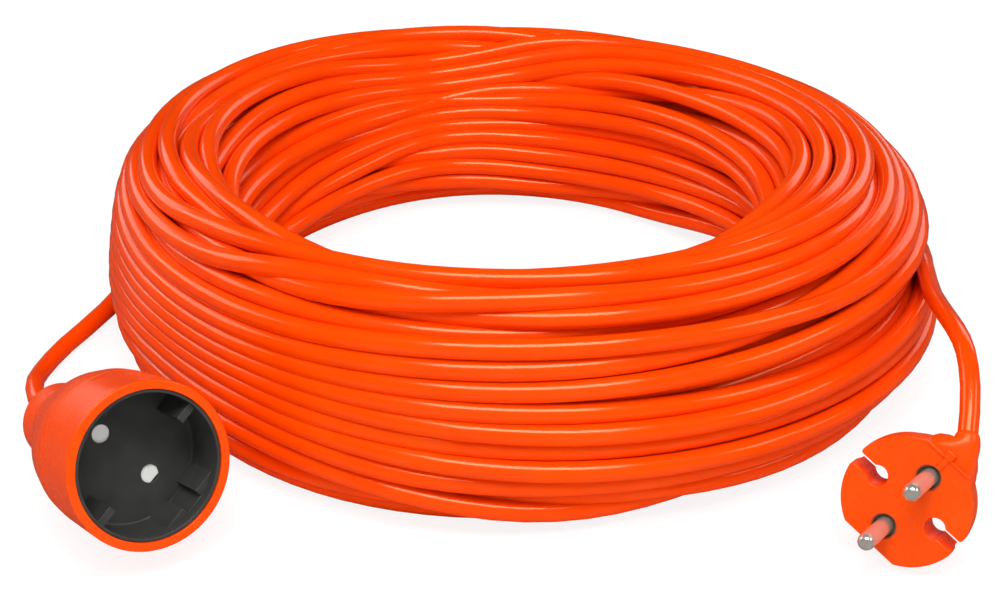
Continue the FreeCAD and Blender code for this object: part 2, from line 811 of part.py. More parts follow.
jacket_blank = new_body("socket_blank")
turned(jacket_blank, "jacket_outer", [
    (0, 0.0),
    (rim - size("socket_rim_chamfer"), 0.0),
    (rim, -size("socket_rim_chamfer")),
    (back + 0.1, groove_top),
    (back + 0.1 - size("groove_cut"), groove_top),
    (back + 0.1 - size("groove_cut"), groove_low),
    (back + 0.1, groove_low),
    (back, shoulder),
    (back - 3, shoulder - 5.5),
    (size("socket_neck_radius") + 1.7, -(size("socket_neck_start") - 2.5)),
    (size("socket_neck_radius"), -size("socket_neck_start")),
    (size("socket_neck_radius"), -size("socket_length")),
    (0, -size("socket_length")),
])
neck_ring = ring_at(size("socket_neck_radius"), neck_exit)
dress(jacket_blank, "Chamfer", "neck_end_round", neck_ring, size("socket_neck_round"))
cavity = new_sketch(jacket_blank, "XY_Plane", "cavity_circle", 0.0)
circle(cavity, 0.0, 0.0, size("insert_radius"))
pocket(jacket_blank, "cavity", cavity, size("carrier_depth"))
seat = new_sketch(jacket_blank, "XY_Plane", "block_seat_outline", -size("carrier_depth") + 1)
box_outline(seat, -size("carrier_block_half_length"), size("carrier_block_half_length"),
            -size("carrier_block_half_width"), size("carrier_block_half_width"))
pocket(jacket_blank, "block_seat", seat, size("carrier_block_depth") - size("carrier_depth") + 1)
jacket_blank.Placement = socket_place
socket_jacket = moulded_round("socket_jacket", jacket_blank, [
    contact_live, contact_neutral, strands_brown, strands_blue, core_brown, core_blue,
])

# Hank of cord
# The outer layer of turns winds round the ring clockwise seen from above: it starts
# low on the outer wall by the socket, passes under the ring, up the eye, over the top
# and ends on the outer wall by the plug.

squareness = float(size("hank_squareness"))
hank_height = float(size("hank_half_height"))
flat_cut = float(size("cord_diameter")) * float(size("hank_flat_share"))
rise_half = hank_height - cord_radius
section_level = rise_half + cord_radius - flat_cut


def curve_power(value):
    return math.copysign(abs(value) ** (2 / squareness), value)


def section_point(turn):
    # a point on the ring's rounded square section, turn in radians from outside
    return curve_power(math.cos(turn)), curve_power(math.sin(turn))


def ring_point(angle, across, height):
    # angle round the ring in radians, across and height as shares of the section
    radius = float(size("hank_radius"))
    radius -= float(size("hank_oval_x")) * math.cos(2 * angle)
    radius -= float(size("hank_oval_xy")) * math.sin(2 * angle)
    half = float(size("hank_half_width")) - cord_radius
    half += float(size("hank_right_growth")) * math.cos(angle)
    half -= float(size("hank_front_growth")) * math.sin(angle)
    reach = radius + half * across
    level = section_level + rise_half * height
    return hank_centre + Vector(reach * math.cos(angle), reach * math.sin(angle), level)


def section_steps():
    # running length of the section's edge from the outside downwards, in even turns
    steps = 720
    half = float(size("hank_half_width")) - cord_radius
    lengths = [0.0]
    last = (half, 0.0)
    for k in range(1, steps + 1):
        across, height = section_point(-2 * math.pi * k / steps)
        here = (half * across, rise_half * height)
        lengths.append(lengths[-1] + math.dist(last, here))
        last = here
    return lengths


edge_lengths = section_steps()


def turn_at(length):
    # the section turn that lies this far along the edge
    length %= edge_lengths[-1]
    for k in range(1, len(edge_lengths)):
        if edge_lengths[k] >= length:
            part = (length - edge_lengths[k - 1]) / (edge_lengths[k] - edge_lengths[k - 1])
            return -2 * math.pi * (k - 1 + part) / (len(edge_lengths) - 1)
    return 0.0


def edge_length_at(height_above_floor):
    # how far down the outer wall a height lies; negative above the middle
    return section_level - height_above_floor


first_angle = math.radians(float(size("hank_start_angle")))
last_angle = math.radians(float(size("hank_end_angle")) - 360 * float(size("hank_turns")))
first_length = edge_length_at(float(size("hank_start_height")))
last_length = edge_lengths[-1] + edge_length_at(float(size("hank_end_height")))


def wound(share):
    angle = first_angle + (last_angle - first_angle) * share
    length = first_length + (last_length - first_length) * share
    near_ends = min(1.0, 8 * share, 8 * (1 - share))
    length += float(size("hank_wander")) * math.sin(angle * 0.73 + 1.1) * near_ends
    across, height = section_point(turn_at(length))
    return ring_point(angle, across, height)


def wound_way(share):
    gap = 1e-4
    way = wound(min(1.0, share + gap)) - wound(max(0.0, share - gap))
    way.normalize()
    return way


def arc_between(start, corner, stop):
    # the arc that touches both lines which meet at the corner
    middle = (start + stop) * 0.5
    lean = (corner - start).getAngle(stop - start)
    if lean < 1e-5:
        return Part.LineSegment(start, stop).toShape()
    crown = middle + (corner - middle) * (math.tan(lean / 2) / math.tan(lean))
    return Part.Arc(start, crown, stop).toShape()


def biarc(start, start_way, stop, stop_way):
    # two tangent arcs from one point and way to the next
    chord = stop - start
    both = start_way + stop_way
    bend = 2 * (1 - start_way.dot(stop_way))
    along = chord.dot(both)
    reach = (math.sqrt(along * along + bend * chord.dot(chord)) - along) / bend
    first_corner = start + start_way * reach
    last_corner = stop - stop_way * reach
    join = (first_corner + last_corner) * 0.5
    return [arc_between(start, first_corner, join), arc_between(join, last_corner, stop)]


pieces = round(4 * (first_angle - last_angle) / (2 * math.pi))
shares = [k / pieces for k in range(pieces + 1)]
places = [wound(share) for share in shares]
ways = [wound_way(share) for share in shares]
straight = float(size("cord_diameter"))
coil_start = places[0] - ways[0] * straight
coil_stop = places[-1] + ways[-1] * straight
coil_edges = [Part.LineSegment(coil_start, places[0]).toShape()]
for k in range(pieces):
    coil_edges += biarc(places[k], ways[k], places[k + 1], ways[k + 1])
coil_edges.append(Part.LineSegment(places[-1], coil_stop).toShape())
coil_path = Part.Wire(coil_edges)


def least_gap(edges, apart):
    # the least distance of the path to itself, past the neighbours along it
    points = []
    for edge in edges:
        count = max(2, round(edge.Length / 6.0))
        points += edge.discretize(count)[:-1]
    least = 1e9
    for i in range(0, len(points)):
        for j in range(i + apart, len(points)):
            distance = (points[i] - points[j]).Length
            if distance < least:
                least = distance
    return least


coil_gap = least_gap(coil_edges, 30) - float(size("cord_diameter"))
print("cord_coil least gap to itself", round(coil_gap, 2), "length", round(coil_path.Length, 0))
if coil_gap < 0.4:
    raise RuntimeError("turns of the hank are too close")
coil_tube = tube_solid(coil_path, hexagon(coil_start, ways[0], cord_radius))
below = Part.makeBox(400, 400, 20, hank_centre + Vector(-200, -200, -20))
cord_coil = doc.addObject("Part::Feature", "cord_coil")
cord_coil.Shape = coil_tube.cut(below)
keep(cord_coil, "cord_coil")

# the filled inside of the ring, a plain body under the outer layer
coil_core = new_body("coil_core")
inset = size("cord_diameter") + size("hank_filler_gap") + size("hank_wander")
core_half = size("hank_half_width") - inset - 2.0
core_level = section_level
core_rise = size("hank_half_height") - inset - 1.2
outer_edge = size("hank_radius") + core_half
inner_edge = size("hank_radius") - core_half
top = core_rise + core_level
low = -core_rise + core_level
bevel_in = size("hank_half_width") * 0.34
bevel_up = size("hank_half_height") * 0.46
turned(coil_core, "filler_outer", [
    (0, low),
    (outer_edge - bevel_in, low),
    (outer_edge, low + bevel_up),
    (outer_edge, top - bevel_up),
    (outer_edge - bevel_in, top),
    (0, top),
])
eye_wide = inner_edge + bevel_in
eye = new_sketch(coil_core, "XZ_Plane", "eye_outline")
eye.setExpression("AttachmentOffset.Base.x", (-size("hank_right_growth") * 2).text)
eye.setExpression("AttachmentOffset.Base.z", (-size("hank_front_growth") * 2).text)
outline(eye, [
    (0, low - 1),
    (eye_wide, low - 1),
    (eye_wide, low),
    (inner_edge, low + bevel_up),
    (inner_edge, top - bevel_up),
    (eye_wide, top),
    (eye_wide, top + 1),
    (0, top + 1),
])
eye_cut = feature(coil_core, "Groove", "eye_flared", eye)
eye_cut.ReferenceAxis = (eye, ["V_Axis"])
eye_cut.Angle = 360.0
doc.recompute()
core_shift = Vector(float(size("hank_right_growth")), -float(size("hank_front_growth")), 0)
keep(coil_core, "coil_core", Placement(hank_centre + core_shift, Rotation()))

# Free stretches of cord
socket_exit = socket_place.multVec(Vector(0, 0, neck_exit))
socket_back = socket_place.Rotation.multVec(Vector(0, 0, -1))
plug_exit = plug_place.multVec(neck_end)
plug_back = plug_place.Rotation.multVec(exit_way)


def from_hank(*points):
    return [hank_centre + Vector(*point) for point in points]


socket_lead_route = [socket_exit, socket_exit + socket_back * 16]
socket_lead_route += from_hank((-142.4, -56.0, 4.4), (-139.5, -30.6, 3.4), (-131.0, -8.0, 4.0))
socket_lead_route += [coil_start - ways[0] * 14, coil_start]
tube("socket_lead", socket_lead_route, cord_radius)
plug_lead_route = [plug_exit, plug_exit + plug_back * 10]
plug_lead_route += from_hank((126.3, -125.8, 51.2), (126.6, -112.8, 51.6), (127.9, -91.3, 47.2))
plug_lead_route += from_hank((131.0, -62.0, 40.0), (134.5, -32.0, 33.5))
plug_lead_route += [coil_stop + ways[-1] * 16, coil_stop]
tube("plug_lead", plug_lead_route, cord_radius)

# Checks and files
doc.recompute()
faults = [thing.Name for thing in doc.Objects if "Invalid" in thing.State or "Error" in thing.State]
if faults:
    raise RuntimeError(f"objects with faults: {faults}")
for thing in kept:
    if thing.Shape.isNull() or not thing.Shape.isValid():
        raise RuntimeError(f"{thing.Label} has no good shape")
os.makedirs("parts", exist_ok=True)


def extent(shape):
    box = shape.BoundBox
    return [round(v, 2) for v in (box.XMin, box.XMax, box.YMin, box.YMax, box.ZMin, box.ZMax)]


print("whole", extent(Part.makeCompound([thing.Shape for thing in kept])))
for thing in kept:
    shape = thing.Shape
    print(thing.Label, len(shape.Solids), round(shape.Volume, 1), extent(shape))
    shape.exportStep(f"parts/{thing.Label}.step")
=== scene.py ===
import math
import bpy
import bmesh
import numpy as np
from mathutils import Matrix, Vector


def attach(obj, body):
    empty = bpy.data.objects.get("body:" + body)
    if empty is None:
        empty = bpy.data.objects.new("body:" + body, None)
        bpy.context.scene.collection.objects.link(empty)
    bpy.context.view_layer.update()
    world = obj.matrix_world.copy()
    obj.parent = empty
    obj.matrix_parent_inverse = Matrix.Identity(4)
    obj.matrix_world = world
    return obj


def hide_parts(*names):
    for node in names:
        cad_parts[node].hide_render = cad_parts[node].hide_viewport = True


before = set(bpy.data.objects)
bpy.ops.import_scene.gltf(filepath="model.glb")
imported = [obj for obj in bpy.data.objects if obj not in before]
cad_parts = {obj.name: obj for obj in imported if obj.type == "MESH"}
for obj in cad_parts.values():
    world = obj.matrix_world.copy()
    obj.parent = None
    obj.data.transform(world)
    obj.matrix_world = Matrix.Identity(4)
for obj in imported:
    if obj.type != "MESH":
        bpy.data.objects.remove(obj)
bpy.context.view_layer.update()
mm = 0.001


# colours and materials

def rgb(hexText):
    values = [int(hexText[i:i + 2], 16) / 255 for i in (0, 2, 4)]
    linear = [v / 12.92 if v <= 0.04045 else ((v + 0.055) / 1.055) ** 2.4 for v in values]
    return (*linear, 1.0)


def addNode(tree, kind, settings=None, links=None, values=None):
    # a shader node with its settings, its unlinked values and the sockets that feed it
    node = tree.nodes.new(kind)
    for name, value in (settings or {}).items():
        setattr(node, name, value)
    for name, value in (values or {}).items():
        node.inputs[name].default_value = value
    for name, source in (links or {}).items():
        tree.links.new(source, node.inputs[name])
    return node


def startMaterial(name):
    material = bpy.data.materials.new(name)
    material.use_nodes = True
    tree = material.node_tree
    tree.nodes.clear()
    return material, tree


def endMaterial(tree, shader):
    addNode(tree, "ShaderNodeOutputMaterial", links={"Surface": shader.outputs[0]})


def twoShades(tree, place, sizeMm, shade, colour, low=0.3, high=0.7, detail=3.0):
    # soft patches of two close shades; sizeMm is the real width of one patch
    patches = addNode(tree, "ShaderNodeTexNoise", links={"Vector": place},
                      values={"Scale": 1000.0 / sizeMm, "Detail": detail})
    share = addNode(tree, "ShaderNodeMapRange", links={"Value": patches.outputs["Fac"]},
                    values={"From Min": low, "From Max": high})
    mixed = addNode(tree, "ShaderNodeMix", settings={"data_type": "RGBA"},
                    links={0: share.outputs["Result"]}, values={6: rgb(shade), 7: rgb(colour)})
    return mixed.outputs[2]


def plasticMaterial(name, look):
    # plastic with two close shades in soft patches, uneven gloss and a fine grain
    material, tree = startMaterial(name)
    place = addNode(tree, "ShaderNodeTexCoord").outputs["Object"]
    patchMm = look.get("patchMm", 9.0)
    tint = twoShades(tree, place, patchMm, look["shade"], look["colour"])
    handling = addNode(tree, "ShaderNodeTexNoise", links={"Vector": place},
                       values={"Scale": 1000.0 / (patchMm * 0.4), "Detail": 4.0})
    gloss = addNode(tree, "ShaderNodeMapRange", links={"Value": handling.outputs["Fac"]}, values={
        "From Min": 0.3, "From Max": 0.7,
        "To Min": look["roughness"] - 0.04, "To Max": look["roughness"] + 0.05})
    grain = addNode(tree, "ShaderNodeTexNoise", links={"Vector": place},
                    values={"Scale": 1000.0 / look["grainMm"], "Detail": 2.0})
    bump = addNode(tree, "ShaderNodeBump", links={"Height": grain.outputs["Fac"]},
                   values={"Strength": 1.0, "Distance": look["grainDepthMm"] * mm})
    shader = addNode(tree, "ShaderNodeBsdfPrincipled", links={
        "Base Color": tint, "Roughness": gloss.outputs["Result"], "Normal": bump.outputs["Normal"]},
        values={"IOR": look.get("ior", 1.5), "Specular Tint": rgb(look.get("glint", "ffffff"))})
    endMaterial(tree, shader)
    return material


def metalMaterial(name, look):
    # bare metal with uneven gloss and fine lines left by the tool
    material, tree = startMaterial(name)
    place = addNode(tree, "ShaderNodeTexCoord").outputs["Object"]
    tint = twoShades(tree, place, 5.0, look["shade"], look["colour"])
    drawn = addNode(tree, "ShaderNodeMapping", links={"Vector": place},
                    values={"Scale": (1, 1, look.get("stretch", 8))})
    lines = addNode(tree, "ShaderNodeTexNoise", links={"Vector": drawn.outputs["Vector"]},
                    values={"Scale": 1000.0 / look["lineMm"], "Detail": 2.0})
    gloss = addNode(tree, "ShaderNodeMapRange", links={"Value": lines.outputs["Fac"]}, values={
        "From Min": 0.3, "From Max": 0.7,
        "To Min": look["roughness"] * 0.8, "To Max": look["roughness"] * 1.3})
    bump = addNode(tree, "ShaderNodeBump", links={"Height": lines.outputs["Fac"]},
                   values={"Strength": 1.0, "Distance": look["lineDepthMm"] * mm})
    shader = addNode(tree, "ShaderNodeBsdfPrincipled", links={
        "Base Color": tint, "Roughness": gloss.outputs["Result"], "Normal": bump.outputs["Normal"]},
        values={"Metallic": look.get("metallic", 1.0)})
    endMaterial(tree, shader)
    return material


# extruded soft PVC of the cord: smooth and shiny, faintly uneven, its glints warm as in the photo
cordSkin = plasticMaterial("pvc_sheath_extruded", {
    "colour": "f84900", "shade": "f24300", "roughness": 0.17, "grainMm": 1.6, "grainDepthMm": 0.008,
    "patchMm": 22.0, "glint": "fff4c0"})
# moulded soft PVC of plug and socket: duller than the cord, with a shallow grain drawn wide
mouldedOrange = plasticMaterial("pvc_moulded_satin", {
    "colour": "f84a00", "shade": "f24500", "roughness": 0.27, "grainMm": 1.6, "grainDepthMm": 0.002,
    "patchMm": 14.0, "ior": 1.42, "glint": "fff4c0"})
# moulded polyamide of the socket's cup: satin black, its spark grain drawn half a millimetre wide
blackInsert = plasticMaterial("polyamide_black_moulded", {
    "colour": "3e3e3c", "shade": "343433", "roughness": 0.42, "grainMm": 0.5, "grainDepthMm": 0.008,
    "patchMm": 7.0})
# moulded polyamide of the carrier behind the cup: dull dark grey
carrierPlastic = plasticMaterial("polyamide_grey_moulded", {
    "colour": "55544f", "shade": "4d4c48", "roughness": 0.5, "grainMm": 0.6, "grainDepthMm": 0.008})
# moulded acetal of the shutter: pale and smooth
shutterPlastic = plasticMaterial("acetal_white_moulded", {
    "colour": "fafaf6", "shade": "f2f2ee", "roughness": 0.4, "grainMm": 0.6, "grainDepthMm": 0.004})
# pressed phenolic of the pin bridge: brown, low gloss; the same brown lines the walls of the pin recesses as
# painted shade
bridgeAndShadeLiningPlastic = plasticMaterial("phenolic_brown_pressed_and_shade_lining", {
    "colour": "96705a", "shade": "86604a", "roughness": 0.45, "grainMm": 0.5, "grainDepthMm": 0.01,
    "patchMm": 4.0})
# extruded PVC insulation of the two cores: smooth, half glossy
coreBrown = plasticMaterial("pvc_core_brown_extruded", {
    "colour": "6b3d22", "shade": "5f351c", "roughness": 0.35, "grainMm": 0.8, "grainDepthMm": 0.006})
coreBlue = plasticMaterial("pvc_core_blue_extruded", {
    "colour": "2a6fc2", "shade": "2263b2", "roughness": 0.35, "grainMm": 0.8, "grainDepthMm": 0.006})
# polished nickel plating on turned brass: under fully metallic, because the photo's tips are pale
pinNickel = metalMaterial("nickel_plated_polished", {
    "colour": "ece6da", "shade": "ddd6ca", "roughness": 0.2, "lineMm": 0.5, "lineDepthMm": 0.0015,
    "metallic": 0.72})
# stamped and rolled brass of the contact sleeves: bright yellow
sleeveBrass = metalMaterial("brass_stamped", {
    "colour": "d8b05f", "shade": "c79c4c", "roughness": 0.3, "lineMm": 0.4, "lineDepthMm": 0.003})
# cold rolled spring steel strip: bright grey
springSteel = metalMaterial("spring_steel_rolled", {
    "colour": "b5b5b2", "shade": "a3a3a0", "roughness": 0.25, "lineMm": 0.4, "lineDepthMm": 0.002})
# drawn copper strands, twisted: reddish, with coarse lines for the single wires
copperStrands = metalMaterial("copper_strands_twisted", {
    "colour": "d98a5c", "shade": "c47548", "roughness": 0.28, "lineMm": 0.3, "lineDepthMm": 0.03,
    "stretch": 3})
print("materials made")


# camera, floor and light

view = {
    "lens": 80.0,
    "sensorWidth": 36.0,
    "place": (1.83, -638.45, 345.4),    # mm
    "lookDown": 27.25,                  # degrees
}
cameraData = bpy.data.cameras.new("camera")
cameraData.lens = view["lens"]
cameraData.sensor_width = view["sensorWidth"]
cameraData.clip_end = 50.0
camera = bpy.data.objects.new("camera", cameraData)
camera.location = [v * mm for v in view["place"]]
camera.rotation_euler = (math.radians(90 - view["lookDown"]), 0, 0)
bpy.context.collection.objects.link(camera)
bpy.context.scene.camera = camera
bpy.context.scene.view_settings.view_transform = "Standard"

# strengths of the room and the floor, for each kind of ray that meets them
studio = {
    "roomLight": 0.3,
    "roomInReflections": 0.01,
    "roomSeen": 1.0,
    "floorGlow": 0.86,
    "floorSeen": 0.18,
    "floorInReflections": 0.09,
    "paperGrainMm": 3.0,
}
white = (1, 1, 1, 1)
world = bpy.data.worlds.new("studio")
bpy.context.scene.world = world
world.use_nodes = True
roomTree = world.node_tree
roomTree.nodes.clear()
path = addNode(roomTree, "ShaderNodeLightPath")
room, dim, seen = [
    addNode(roomTree, "ShaderNodeBackground", values={"Color": white, "Strength": studio[kind]})
    for kind in ("roomLight", "roomInReflections", "roomSeen")]
lit = addNode(roomTree, "ShaderNodeMixShader", links={
    "Fac": path.outputs["Is Glossy Ray"], 1: room.outputs[0], 2: dim.outputs[0]})
mixed = addNode(roomTree, "ShaderNodeMixShader", links={
    "Fac": path.outputs["Is Camera Ray"], 1: lit.outputs[0], 2: seen.outputs[0]})
addNode(roomTree, "ShaderNodeOutputWorld", links={"Surface": mixed.outputs[0]})


def addMesh(name, vertices, faces, material=None, smooth=True):
    mesh = bpy.data.meshes.new(name)
    mesh.from_pydata([tuple(v) for v in vertices], [], faces)
    mesh.update()
    obj = bpy.data.objects.new(name, mesh)
    bpy.context.collection.objects.link(obj)
    if material is not None:
        mesh.materials.append(material)
    for face in mesh.polygons:
        face.use_smooth = smooth
    return obj


# white paper floor, bright enough to clip to white outside the shadows
floorPaper, floorTree = startMaterial("paper_floor_white")
floorPlace = addNode(floorTree, "ShaderNodeTexCoord").outputs["Object"]
paperTint = twoShades(floorTree, floorPlace, studio["paperGrainMm"], "f4f4f4", "fafafa", 0.2, 0.8, 2.0)
paper = addNode(floorTree, "ShaderNodeBsdfDiffuse", links={"Color": paperTint})
# the camera sees the paper nearly clipped to white, so only a faint shadow is left,
# and reflections of it stay faint, as on a shaded sweep of paper
fainter, duller = [
    addNode(floorTree, "ShaderNodeBsdfDiffuse", values={"Color": (level, level, level, 1)})
    for level in (studio["floorSeen"], studio["floorInReflections"])]
glow = addNode(floorTree, "ShaderNodeEmission", values={"Color": white, "Strength": studio["floorGlow"]})
bright = addNode(floorTree, "ShaderNodeAddShader", links={0: fainter.outputs[0], 1: glow.outputs[0]})
floorPath = addNode(floorTree, "ShaderNodeLightPath")
others = addNode(floorTree, "ShaderNodeMixShader", links={
    "Fac": floorPath.outputs["Is Glossy Ray"], 1: paper.outputs[0], 2: duller.outputs[0]})
endMaterial(floorTree, addNode(floorTree, "ShaderNodeMixShader", links={
    "Fac": floorPath.outputs["Is Camera Ray"], 1: others.outputs[0], 2: bright.outputs[0]}))
floor = addMesh("floor", [(-6, -6, 0), (6, -6, 0), (6, 6, 0), (-6, 6, 0)], [(0, 1, 2, 3)], floorPaper, False)


def softbox(name, place, target, width, height, watts):
    light = bpy.data.lights.new(name, "AREA")
    light.shape = "RECTANGLE"
    light.size = width
    light.size_y = height
    light.energy = watts
    obj = bpy.data.objects.new(name, light)
    obj.location = place
    way = Vector(target) - Vector(place)
    obj.rotation_euler = way.to_track_quat("-Z", "Y").to_euler()
    bpy.context.collection.objects.link(obj)
    return obj


# place, target, width and height in metres, then watts
softboxes = {
    "key_softbox": ((0.03, -0.62, 1.2), (0, -0.1, 0.03), 0.9, 0.55, 14.5),
    "side_softbox": ((-1.3, 0.35, 0.8), (0, 0, 0.02), 0.9, 0.6, 5.0),
    "low_left_softbox": ((-0.95, 0.85, 0.4), (-0.1, -0.15, 0.03), 0.8, 0.45, 1.8),
    "low_right_softbox": ((0.75, 1.1, 0.45), (0.12, 0, 0.03), 0.8, 0.45, 1.7),
    "right_softbox": ((1.2, -0.25, 0.8), (0.05, 0, 0.03), 0.7, 0.35, 3.0),
    "fill_softbox": ((0.0, -1.5, 0.7), (0, -0.1, 0.03), 1.6, 0.9, 5.0),
}
boxes = {name: softbox(name, *setup) for name, setup in softboxes.items()}
# the light from the camera's side leaves no highlight
boxes["fill_softbox"].visible_glossy = False
print("camera, floor and light set")


# shapes built from outlines, each in its part's own frame in mm

def ringFaces(rings):
    # faces between rings of vertex numbers; rings that share a vertex give triangles
    faces = []
    for low, high in zip(rings, rings[1:]):
        for k in range(len(low)):
            n = (k + 1) % len(low)
            corners = tuple(dict.fromkeys((low[k], low[n], high[n], high[k])))
            if len(corners) > 2:
                faces.append(corners)
    return faces


def arc(centre, radius, first, last, steps):
    # points on an arc, angles in degrees
    turns = [math.radians(first + (last - first) * k / steps) for k in range(steps + 1)]
    return [(centre[0] + radius * math.cos(t), centre[1] + radius * math.sin(t)) for t in turns]


def rounded(corners, steps=5):
    # an open line through corners (x, y, radius) with each corner rounded
    points = []
    for i, (x, y, radius) in enumerate(corners):
        if radius == 0:
            points.append((x, y))
            continue
        here = Vector((x, y))
        before = Vector(corners[i - 1][:2]) - here
        after = Vector(corners[i + 1][:2]) - here
        reach = min(radius / math.tan(before.angle(after) / 2), before.length * 0.49, after.length * 0.49)
        start = here + before.normalized() * reach
        stop = here + after.normalized() * reach
        for k in range(steps + 1):
            part = k / steps
            points.append(tuple(start * (1 - part) ** 2 + here * 2 * part * (1 - part) + stop * part ** 2))
    return points


def lathe(profile, segments=96, centre=(0, 0)):
    # profile of (radius, z) turned about a line along local Z
    vertices, rings = [], []
    for radius, z in profile:
        if radius < 1e-6:
            rings.append([len(vertices)] * segments)
            vertices.append((*centre, z))
            continue
        rings.append(list(range(len(vertices), len(vertices) + segments)))
        vertices += [(x, y, z) for x, y in arc(centre, radius, 0, 360, segments)[:-1]]
    return vertices, ringFaces(rings)


def prism(outline, levels):
    # a solid over a closed outline; levels (z, inset, inset of inner points) run upwards
    count = len(outline)
    vertices = []
    for z, inset, innerInset in levels:
        for i, (x, y, inner) in enumerate(outline):
            here = Vector((x, y))
            come = (here - Vector(outline[i - 1][:2])).normalized()
            leave = (Vector(outline[(i + 1) % count][:2]) - here).normalized()
            outward = Vector((come.y + leave.y, -come.x - leave.x)) / max(1 + come.dot(leave), 0.4)
            vertices.append((*(here - outward * (innerInset if inner else inset)), z))
    rings = [list(range(level * count, (level + 1) * count)) for level in range(len(levels))]
    return vertices, [*ringFaces(rings), tuple(reversed(rings[0])), tuple(rings[-1])]


def roundedLevels(low, high, lowRound, highRound, innerShare=1.0, lowDepth=None, steps=5):
    # levels of a slab whose lower and upper edges are rounded, the lower one over its own depth
    lowDepth = lowDepth or lowRound
    levels = []
    for k in range(steps + 1):
        turn = math.pi / 2 * k / steps
        inset = lowRound * (1 - math.sin(turn))
        levels.append((low + lowDepth * (1 - math.cos(turn)), inset, inset * innerShare))
    for k in range(steps + 1):
        turn = math.pi / 2 * k / steps
        inset = highRound * (1 - math.cos(turn))
        levels.append((high - highRound * (1 - math.sin(turn)), inset, inset))
    return levels


def box(x1, x2, y1, y2, z1, z2, edge=0.0):
    # a box whose top edges are rounded
    levels = roundedLevels(z1, z2, 0.0, edge, steps=3)[3:] if edge else [(z1, 0, 0), (z2, 0, 0)]
    return prism([(x1, y1, 0), (x2, y1, 0), (x2, y2, 0), (x1, y2, 0)], levels)


def loft(sections, segments=40, reference=(0, 0, 1)):
    # rings round (centre, direction, half width, half thickness, squareness)
    vertices, rings = [], []
    for centre, along, halfWidth, halfThick, square in sections:
        along = Vector(along).normalized()
        across = Vector(reference).cross(along).normalized()
        up = along.cross(across)
        rings.append(list(range(len(vertices), len(vertices) + segments)))
        for k in range(segments):
            turn = 2 * math.pi * k / segments
            c, s = math.cos(turn), math.sin(turn)
            one = halfWidth * math.copysign(abs(c) ** (2 / square), c)
            other = halfThick * math.copysign(abs(s) ** (2 / square), s)
            vertices.append(Vector(centre) + across * one + up * other)
    return vertices, [*ringFaces(rings), tuple(reversed(rings[0])), tuple(rings[-1])]


def wire(points, radius, reference=(0, 0, 1)):
    # a round wire laid through points
    places = [Vector(p) for p in points]
    before = [places[0], *places[:-1]]
    after = [*places[1:], places[-1]]
    sections = [(place, b - a, radius, radius, 2.0) for place, a, b in zip(places, before, after)]
    return loft(sections, 20, reference)


def cutOut(solid, cutters):
    # the solid less the cutters, as a pair of vertices and faces
    def temporary(shape):
        obj = addMesh("shape", *shape)
        fix = bmesh.new()
        fix.from_mesh(obj.data)
        bmesh.ops.remove_doubles(fix, verts=fix.verts, dist=1e-5)
        bmesh.ops.recalc_face_normals(fix, faces=fix.faces)
        fix.to_mesh(obj.data)
        fix.free()
        return obj

    body = temporary(solid)
    tools = [temporary(cutter) for cutter in cutters]
    for tool in tools:
        cut = body.modifiers.new("cut", "BOOLEAN")
        cut.operation = "DIFFERENCE"
        cut.solver = "EXACT"
        cut.object = tool
    bpy.context.view_layer.update()
    depsgraph = bpy.context.evaluated_depsgraph_get()
    mesh = bpy.data.meshes.new_from_object(body.evaluated_get(depsgraph))
    result = [v.co.copy() for v in mesh.vertices], [tuple(f.vertices) for f in mesh.polygons]
    for obj in (body, *tools):
        bpy.data.objects.remove(obj)
    return result


def addPiece(name, shapes, place, material, nodeName, body="cord_set", bevel=0.0):
    # joins shapes given in local mm into one object that takes a node's place
    vertices, faces = [], []
    for points, corners in shapes:
        faces += [tuple(i + len(vertices) for i in face) for face in corners]
        vertices += list(points)
    obj = addMesh(name, [place @ Vector(v) * mm for v in vertices], faces, material)
    fix = bmesh.new()
    fix.from_mesh(obj.data)
    bmesh.ops.remove_doubles(fix, verts=fix.verts, dist=1e-7)
    bmesh.ops.recalc_face_normals(fix, faces=fix.faces)
    fix.to_mesh(obj.data)
    fix.free()
    obj.data.set_sharp_from_angle(angle=math.radians(35))
    if bevel:
        edge = obj.modifiers.new("edge", "BEVEL")
        edge.width = bevel * mm
        edge.segments = 2
        edge.limit_method = "ANGLE"
    even = obj.modifiers.new("even", "WEIGHTED_NORMAL")
    even.keep_sharp = True
    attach(obj, body)
    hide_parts(nodeName)
    print("piece", name, len(obj.data.polygons))
    return obj


# the hank of cord

hank = {
    "cordDiameter": 6.2,
    "centre": (3.8, 20.15),
    "ringRadius": 104.0,
    "stations": 48,                       # sections round one turn
    "crossing": 8,                        # stations that a crossing takes
    "shellSlots": (26, 20, 15, 10, 4),    # turns in each shell, the outer one first
    "shellTwist": (2, -3, 2, -1, 1),      # slots by which a shell moves on in one turn
    "shellStep": 0.9,                     # depth of a shell in cord diameters
    "squareness": 3.1,
    "startAngle": 168,
    "endAngle": 8,
    "startHeight": 8.0,
    "endHeight": 30.0,
    # crossings between two shells, and how many
    "crossings": ((0, 0, 6), (0, 1, 14), (1, 2, 10), (2, 3, 7), (3, 4, 4)),
    # slow waves along and across a shell, with their share of its outline
    "driftWaves": ((1, 0, 0.055), (2, 0, 0.022), (1, 1, 0.022), (2, -1, 0.014), (3, 2, 0.006)),
    # chance wandering in mm, and the stations that it takes
    "stray": ((2.6, 22), (0.8, 9)),
    "settleRounds": 400,
    "quickRounds": 60,
    # how the bundle's section changes round the ring, in mm: mean, then cosine and sine terms
    "outerHalf": (30.38, 4.28, -2.42, -0.58, -2.68, 0.24, 1.19),
    "innerHalf": (22.28, -0.21, 6.03, 11.58, -2.53, -5.39, -0.78),
    "outerSpread": (5.84, 1.23, -0.46),
    "innerSpread": (3.13, -4.39, 9.49),
    "halfHeight": (33.29, -0.79, -2.85),
}
cordDiameter = hank["cordDiameter"]
cordRadius = cordDiameter / 2
